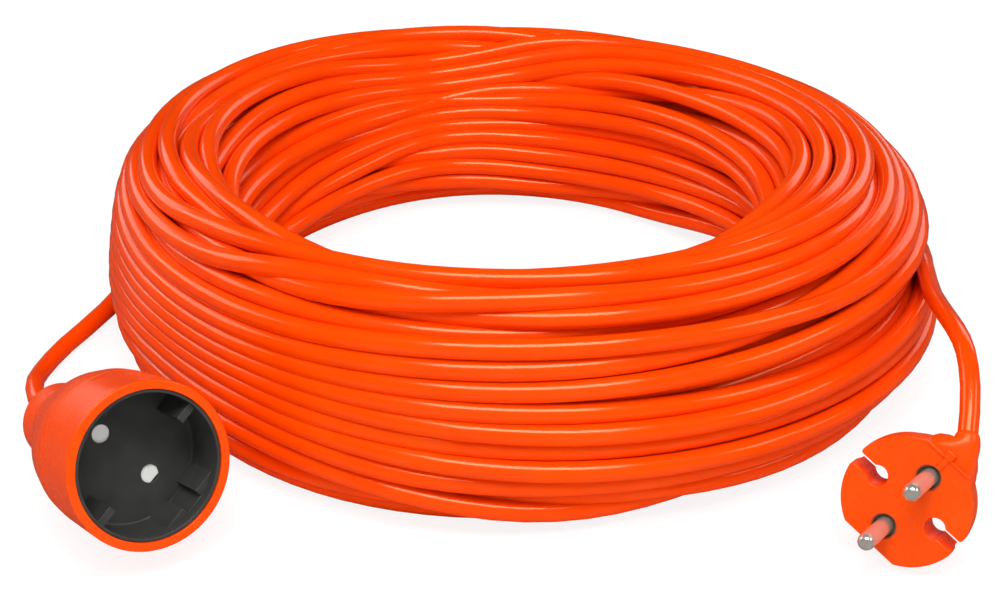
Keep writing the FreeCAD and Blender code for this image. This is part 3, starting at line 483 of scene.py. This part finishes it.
hankCentre = hank["centre"]
stations = hank["stations"]
crossing = hank["crossing"]
shellSlots = hank["shellSlots"]
shellTwist = hank["shellTwist"]
shellStep = hank["shellStep"] * cordDiameter
squareness = hank["squareness"]
firstAngle = math.radians(hank["startAngle"])
lastAngle = math.radians(hank["endAngle"])
seeded = np.random.default_rng(7)


def stationAngle(station):
    return firstAngle - 2 * math.pi * station / stations


def waves(terms, angle):
    total = terms[0]
    for k in range(1, (len(terms) + 1) // 2):
        total = total + terms[2 * k - 1] * np.cos(k * angle) + terms[2 * k] * np.sin(k * angle)
    return total


def section(angle, height, inset):
    # middle and half widths of the bundle at this angle, height from -1 low to 1 high
    outer = waves(hank["outerHalf"], angle)
    inner = waves(hank["innerHalf"], angle)
    middle = (outer - inner) / 2
    outerWidth = outer - middle - waves(hank["outerSpread"], angle) * height - inset
    innerWidth = inner + middle - waves(hank["innerSpread"], angle) * height - inset
    return middle, np.maximum(outerWidth, 1.5), np.maximum(innerWidth, 1.5)


def signedPower(value):
    return np.sign(value) * np.abs(value) ** (2 / squareness)


def shellOutline(shell, station):
    # the edge of one shell of the bundle's section, with its running length from 0 to 1
    angle = stationAngle(station)
    inset = cordRadius + shell * shellStep
    turn = np.linspace(0, 2 * math.pi, 257)
    across = signedPower(np.cos(turn))
    height = -signedPower(np.sin(turn))
    middle, outerWidth, innerWidth = section(angle, height, inset)
    across = middle + np.where(across > 0, outerWidth, innerWidth) * across
    half = waves(hank["halfHeight"], angle)
    up = half + max(half - inset, 2.0) * height
    run = np.concatenate([[0], np.cumsum(np.hypot(np.diff(across), np.diff(up)))])
    return across, up, run / run[-1]


def shellDrift(shell):
    # slow waves that let the strands of a shell wander and bunch
    share = 1.0 if shell == 0 else 0.8
    return [(k, s, size * share * seeded.uniform(0.6, 1.1), seeded.uniform(0, 2 * math.pi))
            for k, s, size in hank["driftWaves"]]


def slotTracks():
    # where each slot of each shell lies in the section at every station of one turn
    tracks = []
    slots = []
    for shell, count in enumerate(shellSlots):
        outlines = [shellOutline(shell, station) for station in range(stations)]
        drift = shellDrift(shell)
        for slotIndex in range(count):
            track = []
            for station in range(stations + 1):
                part = station / stations
                along = (slotIndex + shellTwist[shell] * part) / count
                along += sum(size * math.sin(2 * math.pi * (k * part + s * along) + phase)
                             for k, s, size, phase in drift)
                across, up, run = outlines[station % stations]
                track.append((np.interp(along % 1.0, run, across), np.interp(along % 1.0, run, up)))
            tracks.append(track)
            slots.append((shell, slotIndex))
    return np.array(tracks), slots


tracks, slots = slotTracks()
slotCount = len(slots)
slotNumber = {slotName: number for number, slotName in enumerate(slots)}
crossings = []
taken = np.zeros((slotCount, stations + 1), bool)


def tryCrossing(one, other, station):
    # two neighbouring strands change places over a short way, if both are free there
    if station + crossing > stations:
        return False
    span = slice(station, station + crossing + 1)
    if taken[one, span].any() or taken[other, span].any():
        return False
    taken[one, span] = True
    taken[other, span] = True
    crossings.append((station, one, other, int(seeded.choice([-1, 1]))))
    return True


def dropCrossing():
    station, one, other, turn = crossings.pop()
    taken[one, station:station + crossing + 1] = False
    taken[other, station:station + crossing + 1] = False


def slotDistances(one, station):
    distances = np.linalg.norm(tracks[:, station] - tracks[one, station], axis=1)
    distances[one] = 1e9
    return distances


def addCrossings(shellOne, shellOther, count):
    made = 0
    for _ in range(count * 20):
        if made >= count:
            break
        one = slotNumber[(shellOne, int(seeded.integers(shellSlots[shellOne])))]
        station = int(seeded.integers(0, stations - crossing))
        distances = slotDistances(one, station + crossing // 2)
        near = [n for n in np.argsort(distances) if slots[n][0] == shellOther][0]
        if distances[near] < 11 and tryCrossing(one, int(near), station):
            made += 1


def nextSlots():
    # the slot in which the strand of each slot begins its next turn
    holder = list(range(slotCount))
    for station, one, other, turn in sorted(crossings):
        holder[one], holder[other] = holder[other], holder[one]
    following = [0] * slotCount
    for number, (shell, slotIndex) in enumerate(slots):
        following[holder[number]] = slotNumber[(shell, (slotIndex + shellTwist[shell]) % shellSlots[shell])]
    return following


def loopsOf(following):
    seenSlots = [False] * slotCount
    loops = []
    for first in range(slotCount):
        if seenSlots[first]:
            continue
        loop = []
        here = first
        while not seenSlots[here]:
            seenSlots[here] = True
            loop.append(here)
            here = following[here]
        loops.append(loop)
    return loops


def joinOneMore():
    # one more crossing that makes two closed loops of strands into one
    loops = len(loopsOf(nextSlots()))
    spots = [(one, station) for one in range(slotCount) for station in range(stations - crossing + 1)]
    for index in seeded.permutation(len(spots)):
        one, station = spots[index]
        if taken[one, station:station + crossing + 1].any():
            continue
        distances = slotDistances(one, station + crossing // 2)
        for other in np.argsort(distances)[:6]:
            if distances[other] > 15 or not tryCrossing(one, int(other), station):
                continue
            if len(loopsOf(nextSlots())) < loops:
                return
            dropCrossing()
    raise RuntimeError("the turns can't be joined into one strand")


for shellOne, shellOther, count in hank["crossings"]:
    addCrossings(shellOne, shellOther, count)
while len(loopsOf(nextSlots())) > 1:
    joinOneMore()
print("crossings", len(crossings))


def strandSections():
    # the section places of every strand over one turn, crossings carried out
    holder = list(range(slotCount))
    sections = np.zeros((slotCount, stations, 2))
    for station in range(stations):
        for number in range(slotCount):
            sections[holder[number], station] = tracks[number, station]
        for first, one, other, turn in crossings:
            if not first <= station < first + crossing:
                continue
            part = (station - first) / crossing
            part = part * part * (3 - 2 * part) * math.pi * turn
            middle = (tracks[one, station] + tracks[other, station]) / 2
            half = (tracks[one, station] - tracks[other, station]) / 2
            c, s = math.cos(part), math.sin(part)
            half = np.array([c * half[0] - s * half[1], s * half[0] + c * half[1]])
            half *= max(1.0, cordRadius / np.linalg.norm(half))
            sections[holder[one], station] = middle + half
            sections[holder[other], station] = middle - half
        for first, one, other, turn in crossings:
            if first + crossing == station + 1:
                holder[one], holder[other] = holder[other], holder[one]
    return sections


def wallPlace(angle, level):
    # a strand that lies against the outer wall at this height
    half = waves(hank["halfHeight"], angle)
    height = (level - half) / (half - cordRadius)
    middle, outerWidth, innerWidth = section(angle, height, cordRadius)
    return np.array([middle + outerWidth * (1 - abs(height) ** squareness) ** (1 / squareness), level])


startTarget = wallPlace(firstAngle, hank["startHeight"])
endTarget = wallPlace(lastAngle, hank["endHeight"])


def oneStrand():
    # all turns in the order in which the cord runs through them
    sections = strandSections()
    following = nextSlots()
    lastStation = round(math.degrees(firstAngle - lastAngle) / 360 * stations)
    misses = np.abs(sections[:, lastStation] - endTarget).sum(1)
    lastSlot = int(np.argmin(misses))
    order = [following[lastSlot]]
    while order[-1] != lastSlot:
        order.append(following[order[-1]])
    return np.concatenate([sections[k] for k in order])[:(slotCount - 1) * stations + lastStation + 1]


strand = oneStrand()
total = len(strand)
stationOf = np.arange(total) % stations
angles = stationAngle(stationOf)
halves = waves(hank["halfHeight"], angles)
print("strand points", total)


def stray(amount, reachInStations):
    # smooth chance wandering along the cord
    knots = seeded.normal(0, 1, (total // reachInStations + 4, 2))
    spots = np.arange(total) / reachInStations
    lower = spots.astype(int)
    part = (spots - lower)[:, None]
    part = part * part * (3 - 2 * part)
    return amount * (knots[lower] * (1 - part) + knots[lower + 1] * part)


strand += sum(stray(amount, reachInStations) for amount, reachInStations in hank["stray"])


def keepInside(points):
    # strands that lie outside the bundle's section come back to its edge
    level = (points[:, 1] - halves) / (halves - cordRadius)
    middle, outerWidth, innerWidth = section(angles, np.clip(level, -1, 1), cordRadius)
    offset = points[:, 0] - middle
    width = np.where(offset > 0, outerWidth, innerWidth)
    out = (np.abs(offset / width) ** squareness + np.abs(level) ** squareness) ** (1 / squareness)
    scale = 1 / np.maximum(out, 1)
    points[:, 0] = middle + offset * scale
    points[:, 1] = np.maximum(halves + (points[:, 1] - halves) * scale, cordRadius)


members = [np.nonzero(stationOf == s)[0] for s in range(stations)]


def settle(points, rounds):
    # strands that share a place push each other apart while bends stay wide
    for _ in range(rounds):
        move = np.zeros_like(points)
        for group in members:
            here = points[group]
            delta = here[:, None] - here[None]
            distance = np.hypot(delta[..., 0], delta[..., 1]) + np.eye(len(group)) * 1e3
            short = np.clip(cordDiameter * 1.01 - distance, 0, None)
            move[group] += (delta / np.maximum(distance, 0.3)[..., None] * short[..., None] * 0.3).sum(1)
        length = np.hypot(move[:, 0], move[:, 1])
        move *= np.minimum(1, 1.5 / np.maximum(length, 1e-6))[:, None]
        points = points + move
        smooth = points.copy()
        smooth[1:-1] += 0.25 * (points[:-2] + points[2:] - 2 * points[1:-1])
        points = smooth
        keepInside(points)
        for index in range(3):
            share = (1, 0.6, 0.25)[index]
            points[index] += (startTarget - points[index]) * share
            points[-1 - index] += (endTarget - points[-1 - index]) * share
    return points


strand = settle(strand, hank["settleRounds"])
print("turns settled")

reach = hank["ringRadius"] + strand[:, 0]
acrossHank = hankCentre[0] + reach * np.cos(angles)
alongHank = hankCentre[1] + reach * np.sin(angles)
hankLine = np.stack([acrossHank, alongHank, strand[:, 1]], axis=1)


# places of the plug and the socket beside the hank

# places are from the hank's centre in mm, turns in degrees
plugStand = {"place": (107.9, -149.1, 20.2), "yaw": -26.2, "tilt": 15.9, "roll": 59.0}
socketStand = {"place": (-95.9, -149.3, 31.7), "yaw": 33.0, "tilt": 15.5, "roll": -52.4}


def fromHank(points):
    return [Vector((x + hankCentre[0], y + hankCentre[1], z)) for x, y, z in points]


def facing(stand):
    # the local frame of a piece whose face looks along local Z
    yaw, tilt, roll = [math.radians(stand[name]) for name in ("yaw", "tilt", "roll")]
    out = Vector((math.cos(tilt) * math.sin(yaw), -math.cos(tilt) * math.cos(yaw), math.sin(tilt)))
    side = Vector((math.cos(yaw), math.sin(yaw), 0))
    rise = out.cross(side)
    line = side * math.cos(roll) + rise * math.sin(roll)
    across = out.cross(line)
    turn = Matrix((line, across, out)).transposed().to_4x4()
    return Matrix.Translation(fromHank([stand["place"]])[0]) @ turn


plugPlace = facing(plugStand)
socketPlace = facing(socketStand)

leads = {
    "share": 0.9,          # both free ends look a little thinner in the photo
    "blendPoints": 3,      # points over which the full thickness comes back
    "socketDepth": 67.0,   # the cord starts this far behind the socket's face
    "socketRun": 16,       # straight runs behind the two necks
    "plugRun": 10,
    "neckEnd": (23.4, -0.1, -6.35),
    "exitWay": (0.62, 0.56, -0.55),
    # points listed, from the hank's centre in mm
    "socketSide": ((-145.2, -66.0, 9.0), (-146.6, -50.0, 4.6), (-142.4, -30.0, 3.6), (-132.5, -8.0, 4.0)),
    "plugSide": ((126.3, -125.8, 51.2), (126.6, -112.8, 51.6), (126.5, -91.3, 47.4),
                 (127.6, -64.0, 40.0), (132.0, -34.0, 33.0)),
}
neckEnd = Vector(leads["neckEnd"])
exitWay = Vector(leads["exitWay"]).normalized()
socketExit = socketPlace @ Vector((0, 0, -leads["socketDepth"]))
socketBack = (socketPlace.to_3x3() @ Vector((0, 0, -1))).normalized()
plugExit = plugPlace @ neckEnd
plugBack = (plugPlace.to_3x3() @ exitWay).normalized()
socketLead = [socketExit, socketExit + socketBack * leads["socketRun"], *fromHank(leads["socketSide"])]
plugLead = [plugExit, plugExit + plugBack * leads["plugRun"], *fromHank(leads["plugSide"])]
line = [*socketLead, *[Vector(p) for p in hankLine], *reversed(plugLead)]
lineLength = sum((b - a).length for a, b in zip(line, line[1:]))
print("cord length m", round(lineLength / 1000, 3))

cordCurve = bpy.data.curves.new("extension_cord", "CURVE")
cordCurve.dimensions = "3D"
cordCurve.bevel_depth = cordRadius * mm
cordCurve.bevel_resolution = 6
cordCurve.resolution_u = 2
cordCurve.use_fill_caps = True
spline = cordCurve.splines.new("NURBS")
spline.points.add(len(line) - 1)
firstPlugPoint = len(line) - 1 - len(plugLead)
for number, (point, place) in enumerate(zip(spline.points, line)):
    point.co = (*(place * mm), 1.0)
    pointsOut = max(len(socketLead) - number, number - firstPlugPoint, 0)
    point.radius = 1 + (leads["share"] - 1) * min(pointsOut / leads["blendPoints"], 1)
spline.order_u = 3
spline.use_endpoint_u = True
spline.use_smooth = True
cordCurve.materials.append(cordSkin)
cord = bpy.data.objects.new("extension_cord", cordCurve)
bpy.context.collection.objects.link(cord)
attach(cord, "cord_set")
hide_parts("cord_coil", "coil_core", "socket_lead", "plug_lead")
print("cord made")


# plug moulding

halfSpacing = 9.5
sides = {"live": 1, "neutral": -1}


def onBothLines(profile, segments):
    # the same turned shape on the line of each pin
    return [lathe(profile, segments, (side * halfSpacing, 0)) for side in sides.values()]


plug = {
    "radius": 18.3,
    "thickness": 10.5,
    "flatOffset": 16.1,
    "discFrom": 34,          # the disc's round edge starts at the neck's seat, in degrees
    "mouthTurn": 9.5,        # half of the gap that the slot's mouth leaves in it
    "keyholeAt": 10.4,
    "keyholeRadius": 2.9,
    "keyholeTurn": 50.4,     # where the round hole meets the slot
    "faceEdge": 0.5,
    "backEdge": 3.2,
    "backEdgeDepth": 6.0,
    "keyholeEdgeShare": 0.12,
    # half of a slot's mouth; the last number marks the points inside the keyhole
    "slotMouth": ((2.35, 17.95, 0), (1.98, 17.72, 0), (1.85, 17.2, 1), (1.85, 15.0, 1)),
    # outline of the neck's seat on the disc
    "seat": ((16.7, -9.3), (17.5, -8.3), (17.6, -7.4), (17.6, 6.3), (17.2, 7.4), (16.3, 8.8)),
    # radius and height along a pin's recess
    "recess": ((0, -2.7), (3.5, -2.7), (3.5, -0.35), (3.62, -0.12), (3.85, 0.02), (3.85, 1), (0, 1)),
    # centre, direction, half width, half thickness and squareness along the neck
    "neck": (
        ((13.5, -0.9, -5.3), (1, 0, 0), 8.3, 4.9, 3.6),
        ((16.4, -0.9, -5.3), (1, 0, 0), 8.2, 4.9, 3.6),
        ((17.7, -0.9, -5.3), (1, 0, 0), 7.6, 4.85, 3.4),
        ((18.9, -0.75, -5.3), (1, 0.02, 0), 6.8, 4.7, 3.0),
        ((20.1, -0.75, -5.4), (1, 0.06, -0.08), 5.7, 4.4, 2.6),
        ((21.2, -0.8, -5.6), (1, 0.14, -0.16), 4.9, 4.15, 2.3),
        ((22.0, -0.8, -5.8), (0.9, 0.3, -0.3), 4.25, 3.95, 2.1),
        ((22.6, -0.7, -6.05), (0.78, 0.48, -0.42), 3.7, 3.7, 2.0),
        ((23.1, -0.3, -6.35), (0.68, 0.54, -0.5), 3.5, 3.5, 2.0),
        ((23.5, 0.05, -6.65), (0.62, 0.56, -0.55), 3.3, 3.3, 2.0),
        ((23.9, 0.4, -7.0), (0.62, 0.56, -0.55), 2.95, 2.95, 2.0)),
    # knit line, rib and knob on the face: ranges of x, y and z, then the rounding
    "faceMarks": (
        (16.75, 17.55, -8.4, 6.4, -0.5, 0.4, 0.25),
        (halfSpacing + 3.8, 17.6, -1.3, 0.5, -0.5, 0.7, 0.4),
        (17.1, 19.6, -1.8, 0.9, -1.2, 1.0, 0.45)),
}


def plugOutline():
    # disc with two keyholes, a flat at the far end and a wider seat for the neck
    mouth = plug["slotMouth"]
    mouthTurn = plug["mouthTurn"]
    keyholeTurn = plug["keyholeTurn"]
    flatAngle = math.degrees(math.acos(plug["flatOffset"] / plug["radius"]))
    hole = arc((0, plug["keyholeAt"]), plug["keyholeRadius"], keyholeTurn, -180 - keyholeTurn, 40)
    halfDisc = [(x, y, 0) for x, y in arc((0, 0), plug["radius"], plug["discFrom"], 90 - mouthTurn, 20)]
    halfDisc += mouth
    halfDisc += [(x, y, 1) for x, y in hole]
    halfDisc += [(-x, y, inner) for x, y, inner in reversed(mouth)]
    halfDisc += [(x, y, 0) for x, y in arc((0, 0), plug["radius"], 90 + mouthTurn, 180 - flatAngle, 22)]
    lowerHalf = [(x, -y, inner) for x, y, inner in reversed(halfDisc)]
    return [*[(x, y, 0) for x, y in plug["seat"]], *halfDisc, *lowerHalf]


discLevels = roundedLevels(-plug["thickness"], 0.0, plug["backEdge"], plug["faceEdge"],
                           plug["keyholeEdgeShare"], plug["backEdgeDepth"])
plugDisc = cutOut(prism(plugOutline(), discLevels), onBothLines(plug["recess"], 64))
# the neck narrows from its seat on the disc and turns into a round boss for the cord
plugMoulding = addPiece(
    "plug_moulding", [plugDisc, loft(plug["neck"]), *[box(*mark) for mark in plug["faceMarks"]]],
    plugPlace, mouldedOrange, "plug_body")

# plug pins: turned, with a round nose and a small flat, held in the brown bridge
pins = {
    # radius and height along a pin: tail, collar, shank and nose
    "pin": ((0, -9.2), (1.9, -9.2), (1.9, -6.0), (2.6, -6.0), (2.6, -2.5), (2.4, -2.5),
            (2.4, 16.4), (2.38, 16.9), (2.26, 17.5), (2.02, 18.1), (1.66, 18.55), (1.2, 18.83),
            (0.75, 18.95), (0.5, 18.97), (0, 18.97)),
    "bridge": ((-14, -2), (-11.5, -4.5), (11.5, -4.5), (14, -2),
               (14, 2), (11.5, 4.5), (-11.5, 4.5), (-14, 2)),
    "bridgeLow": -6.0,
    "bridgeTop": -2.5,
    "bridgeEdge": 0.3,
    # the bridge's ring round the pin at the bottom of its recess, and a thin brown lining up the recess wall,
    # which is painted shade on the orange wall
    "collarAndShadeLining": ((2.45, -2.7), (2.45, -2.45), (3.3, -2.45), (3.3, -0.5),
               (3.48, -0.4), (3.48, -2.7), (2.45, -2.7)),
}
for label, side in sides.items():
    addPiece(f"pin_{label}_turned", [lathe(pins["pin"], 64, (side * halfSpacing, 0))],
             plugPlace, pinNickel, f"pin_{label}")
bridgeLevels = roundedLevels(pins["bridgeLow"], pins["bridgeTop"], pins["bridgeEdge"], pins["bridgeEdge"])
bridge = prism([(x, y, 0) for x, y in pins["bridge"]], bridgeLevels)
# the bridge piece also carries the brown linings of the recess walls, painted shade
addPiece("pin_bridge_and_shade_lining", [bridge, *onBothLines(pins["collarAndShadeLining"], 64)],
         plugPlace, bridgeAndShadeLiningPlastic, "pin_bridge")
print("plug made")


# socket jacket: rim, barrel with its parting groove, shoulder and neck

# radius, height and rounding, from the bore over the rim and down the outside
jacketCorners = (
    (0, -39.5, 0), (15.4, -39.5, 0.3), (15.4, -33, 0.2), (19.5, -33, 0.4), (19.5, -19.6, 0.2),
    (21.05, -19.6, 0.2), (21.05, 0, 0.3), (23.65, 0, 0.7), (22.95, -20.1, 0.2), (22.4, -20.3, 0.15),
    (22.4, -20.8, 0.15), (22.9, -21.0, 0.25), (22.3, -27.0, 6.0), (20.3, -35.6, 0.9),
    (18.9, -36.6, 0.8), (16.6, -43.5, 4.0), (12.0, -57.5, 2.0), (11.5, -68, 1.6),
    (3.3, -68, 0.4), (3.15, -64, 0.0), (0, -64, 0))
addPiece("socket_jacket_moulded", [lathe(rounded(jacketCorners), 128)],
         socketPlace, mouldedOrange, "socket_jacket")

# socket insert: thin cup with two pin holes, key blocks, channels and guide ribs
cup = {
    "radius": 20.95,
    "wellRadius": 20.0,
    "floorTop": -17.0,
    "floorLow": -19.5,
    "lip": -0.55,
    "blockFace": 17.45,
    "blockTop": -4.0,
    "channelHalf": 2.95,
    "channelBack": 19.65,
    "ribHalf": 1.15,
    "ribFace": 14.8,
    "ribTop": -2.2,
    "inWall": 20.5,          # channel backs and ribs run this far into the wall
    "window": (-11.9, 11.9, -3.6, 9.8),
    "windowTop": -17.55,     # the cup's floor is thinner over the shutter
    "edge": 0.14,
}
wellRadius = cup["wellRadius"]
floorTop = cup["floorTop"]
blockFace = cup["blockFace"]
channelHalf = cup["channelHalf"]
cupProfile = rounded([
    (0, cup["floorLow"], 0), (cup["radius"], cup["floorLow"], 0.5), (cup["radius"], cup["lip"], 0.25),
    (wellRadius, cup["lip"], 0.22), (wellRadius, floorTop, 0.7), (0, floorTop, 0)], 4)
pinHole = [(0, -21), (2.6, -21), (2.6, floorTop - 0.25), (2.8, floorTop + 0.03), (2.8, -16), (0, -16)]
window = box(*cup["window"], -20, cup["windowTop"])
cupShape = cutOut(lathe(cupProfile, 128), [*onBothLines(pinHole, 64), window])


def keyBlock(end, side):
    # a block between a straight inner face, the channel beside it and the wall of the well
    wall = wellRadius + 0.2
    first = math.degrees(math.asin(channelHalf / wall))
    last = math.degrees(math.acos(blockFace / wall))
    outline = [(blockFace, channelHalf), *arc((0, 0), wall, first, last, 8)]
    corners = [(x * end, y * side, 0) for x, y in outline]
    return prism(corners if end * side > 0 else corners[::-1],
                 [(floorTop - 0.5, 0, 0), (cup["blockTop"], 0, 0)])


addPiece("socket_insert_cup", [cupShape], socketPlace, blackInsert, "socket_insert")
details = [keyBlock(end, side) for end in (1, -1) for side in (1, -1)]
for end in (1, -1):
    back = sorted((end * cup["channelBack"], end * cup["inWall"]))
    details.append(box(*back, -channelHalf - 0.3, channelHalf + 0.3, floorTop - 0.5, cup["blockTop"]))
for side in (1, -1):
    rib = sorted((side * cup["ribFace"], side * cup["inWall"]))
    details.append(box(-cup["ribHalf"], cup["ribHalf"], *rib, floorTop - 0.5, cup["ribTop"]))
addPiece("socket_insert_details", details, socketPlace, blackInsert, "socket_insert",
         bevel=cup["edge"])

# contact carrier under the cup: room for the shutter and its spring, a chamber for each contact
carrier = {
    "disc": ((0, -33, 0), (19.4, -33, 0.4), (19.4, -19.52, 0.2), (0, -19.52, 0)),
    "foot": (-14, 14, -6, 6, -39.4, -32.9),
    "chamber": ((0, -37.6), (3.4, -37.6), (3.4, -19), (0, -19)),
    "tailHole": ((0, -41), (1.3, -41), (1.3, -37), (0, -37)),
    "shutterSlot": (-11.8, 11.8, -3.55, 9.75, -21.5, -19),
    "springNest": (-3.85, 3.85, 9.0, 13.5, -21.5, -19),
}
chambers = onBothLines(carrier["chamber"], 48)
tailHoles = onBothLines(carrier["tailHole"], 32)
addPiece("contact_carrier_moulded", [
    cutOut(lathe(rounded(carrier["disc"]), 96),
           [*chambers, box(*carrier["shutterSlot"]), box(*carrier["springNest"])]),
    cutOut(box(*carrier["foot"]), [*chambers, *tailHoles])],
    socketPlace, carrierPlastic, "contact_carrier")

# shutter: pale plate with a ramp, right under the thin floor of the insert
shutter = {
    "halfWidth": 11.75,
    "side": ((-3.5, -21.4), (3.5, -21.4), (3.5, -17.65), (2.6, -17.65), (-3.5, -18.2)),
    "edge": 0.15,
}
shutterRings = [list(range(5)), list(range(5, 10))]
shutterEnds = (-shutter["halfWidth"], shutter["halfWidth"])
shutterCorners = [(x, y, z) for x in shutterEnds for y, z in shutter["side"]]
shutterFaces = [*ringFaces(shutterRings), tuple(shutterRings[0]), tuple(reversed(shutterRings[1]))]
addPiece("shutter_plate_moulded", [(shutterCorners, shutterFaces)],
         socketPlace, shutterPlastic, "shutter", "shutter_plate", shutter["edge"])

# sprung contact sleeves, split along one side
contact = {
    # radius and height along a sleeve: tail, outside, mouth and bore
    "sleeve": ((0, -42.5), (1.3, -42.5), (1.3, -37.6), (3.1, -37.6), (3.1, -22.1), (2.9, -21.9),
               (2.6, -21.9), (2.42, -22.3), (2.42, -36.8), (0, -36.8)),
    "splitHalf": 0.45,
}
for label, side in sides.items():
    middle = side * halfSpacing
    split = box(middle - contact["splitHalf"], middle + contact["splitHalf"], 0, 4, -36.9, -21)
    addPiece(f"contact_{label}_rolled", [cutOut(lathe(contact["sleeve"], 48, (middle, 0)), [split])],
             socketPlace, sleeveBrass, f"contact_{label}")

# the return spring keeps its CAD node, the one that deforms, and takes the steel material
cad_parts["shutter_spring"].data.materials.clear()
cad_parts["shutter_spring"].data.materials.append(springSteel)

# cores and bared strands inside the plug and the socket
wireLevel = -7.8
wiring = {
    "coreRadius": 1.1,
    "strandRadius": 0.55,
    "apart": 1.2,            # each core lies this far beside the cord's middle at the neck
    "neckRun": 4,
    "plugStrand": (2.7, -2.3),
    # from the neck to the pin's tail in the plug
    "brown": ((17.0, 0.6, wireLevel), (14.6, 0, wireLevel), (12.2, 0, wireLevel)),
    "blue": ((16.0, -3.6, wireLevel), (14.0, -4.5, wireLevel), (3.0, -4.6, wireLevel), (0.4, -3.4, wireLevel),
             (-2.6, -0.6, wireLevel), (-4.4, 0, wireLevel), (-6.8, 0, wireLevel)),
    # depths in the socket, from the contact's tail to the neck
    "socketDepths": (-43.5, -46, -48.5, -58.5, -61, -68),
    "socketStrandEnd": -39.5,
}
beside = Vector((-exitWay.y, exitWay.x, 0)).normalized() * wiring["apart"]
for colour, side, material in (("brown", 1, coreBrown), ("blue", -1, coreBlue)):
    outside = neckEnd + beside * side
    tail = side * halfSpacing
    inPlug = [outside, outside - exitWay * wiring["neckRun"], *wiring[colour]]
    addPiece(f"plug_core_{colour}_laid", [wire(inPlug, wiring["coreRadius"])],
             plugPlace, material, f"plug_core_{colour}")
    bared = [(tail + x, 0, wireLevel) for x in wiring["plugStrand"]]
    addPiece(f"plug_strands_{colour}_bared", [wire(bared, wiring["strandRadius"])],
             plugPlace, copperStrands, f"plug_strands_{colour}")
    across = (tail, tail, tail * 0.93, side * 2.0, side * 1.3, side * 1.3)
    inSocket = [(x, 0, z) for x, z in zip(across, wiring["socketDepths"])]
    addPiece(f"socket_core_{colour}_laid", [wire(inSocket, wiring["coreRadius"], (0, 1, 0))],
             socketPlace, material, f"socket_core_{colour}")
    bared = [(tail, 0, wiring["socketDepths"][0]), (tail, 0, wiring["socketStrandEnd"])]
    addPiece(f"socket_strands_{colour}_bared", [wire(bared, wiring["strandRadius"], (0, 1, 0))],
             socketPlace, copperStrands, f"socket_strands_{colour}")
print("socket made")
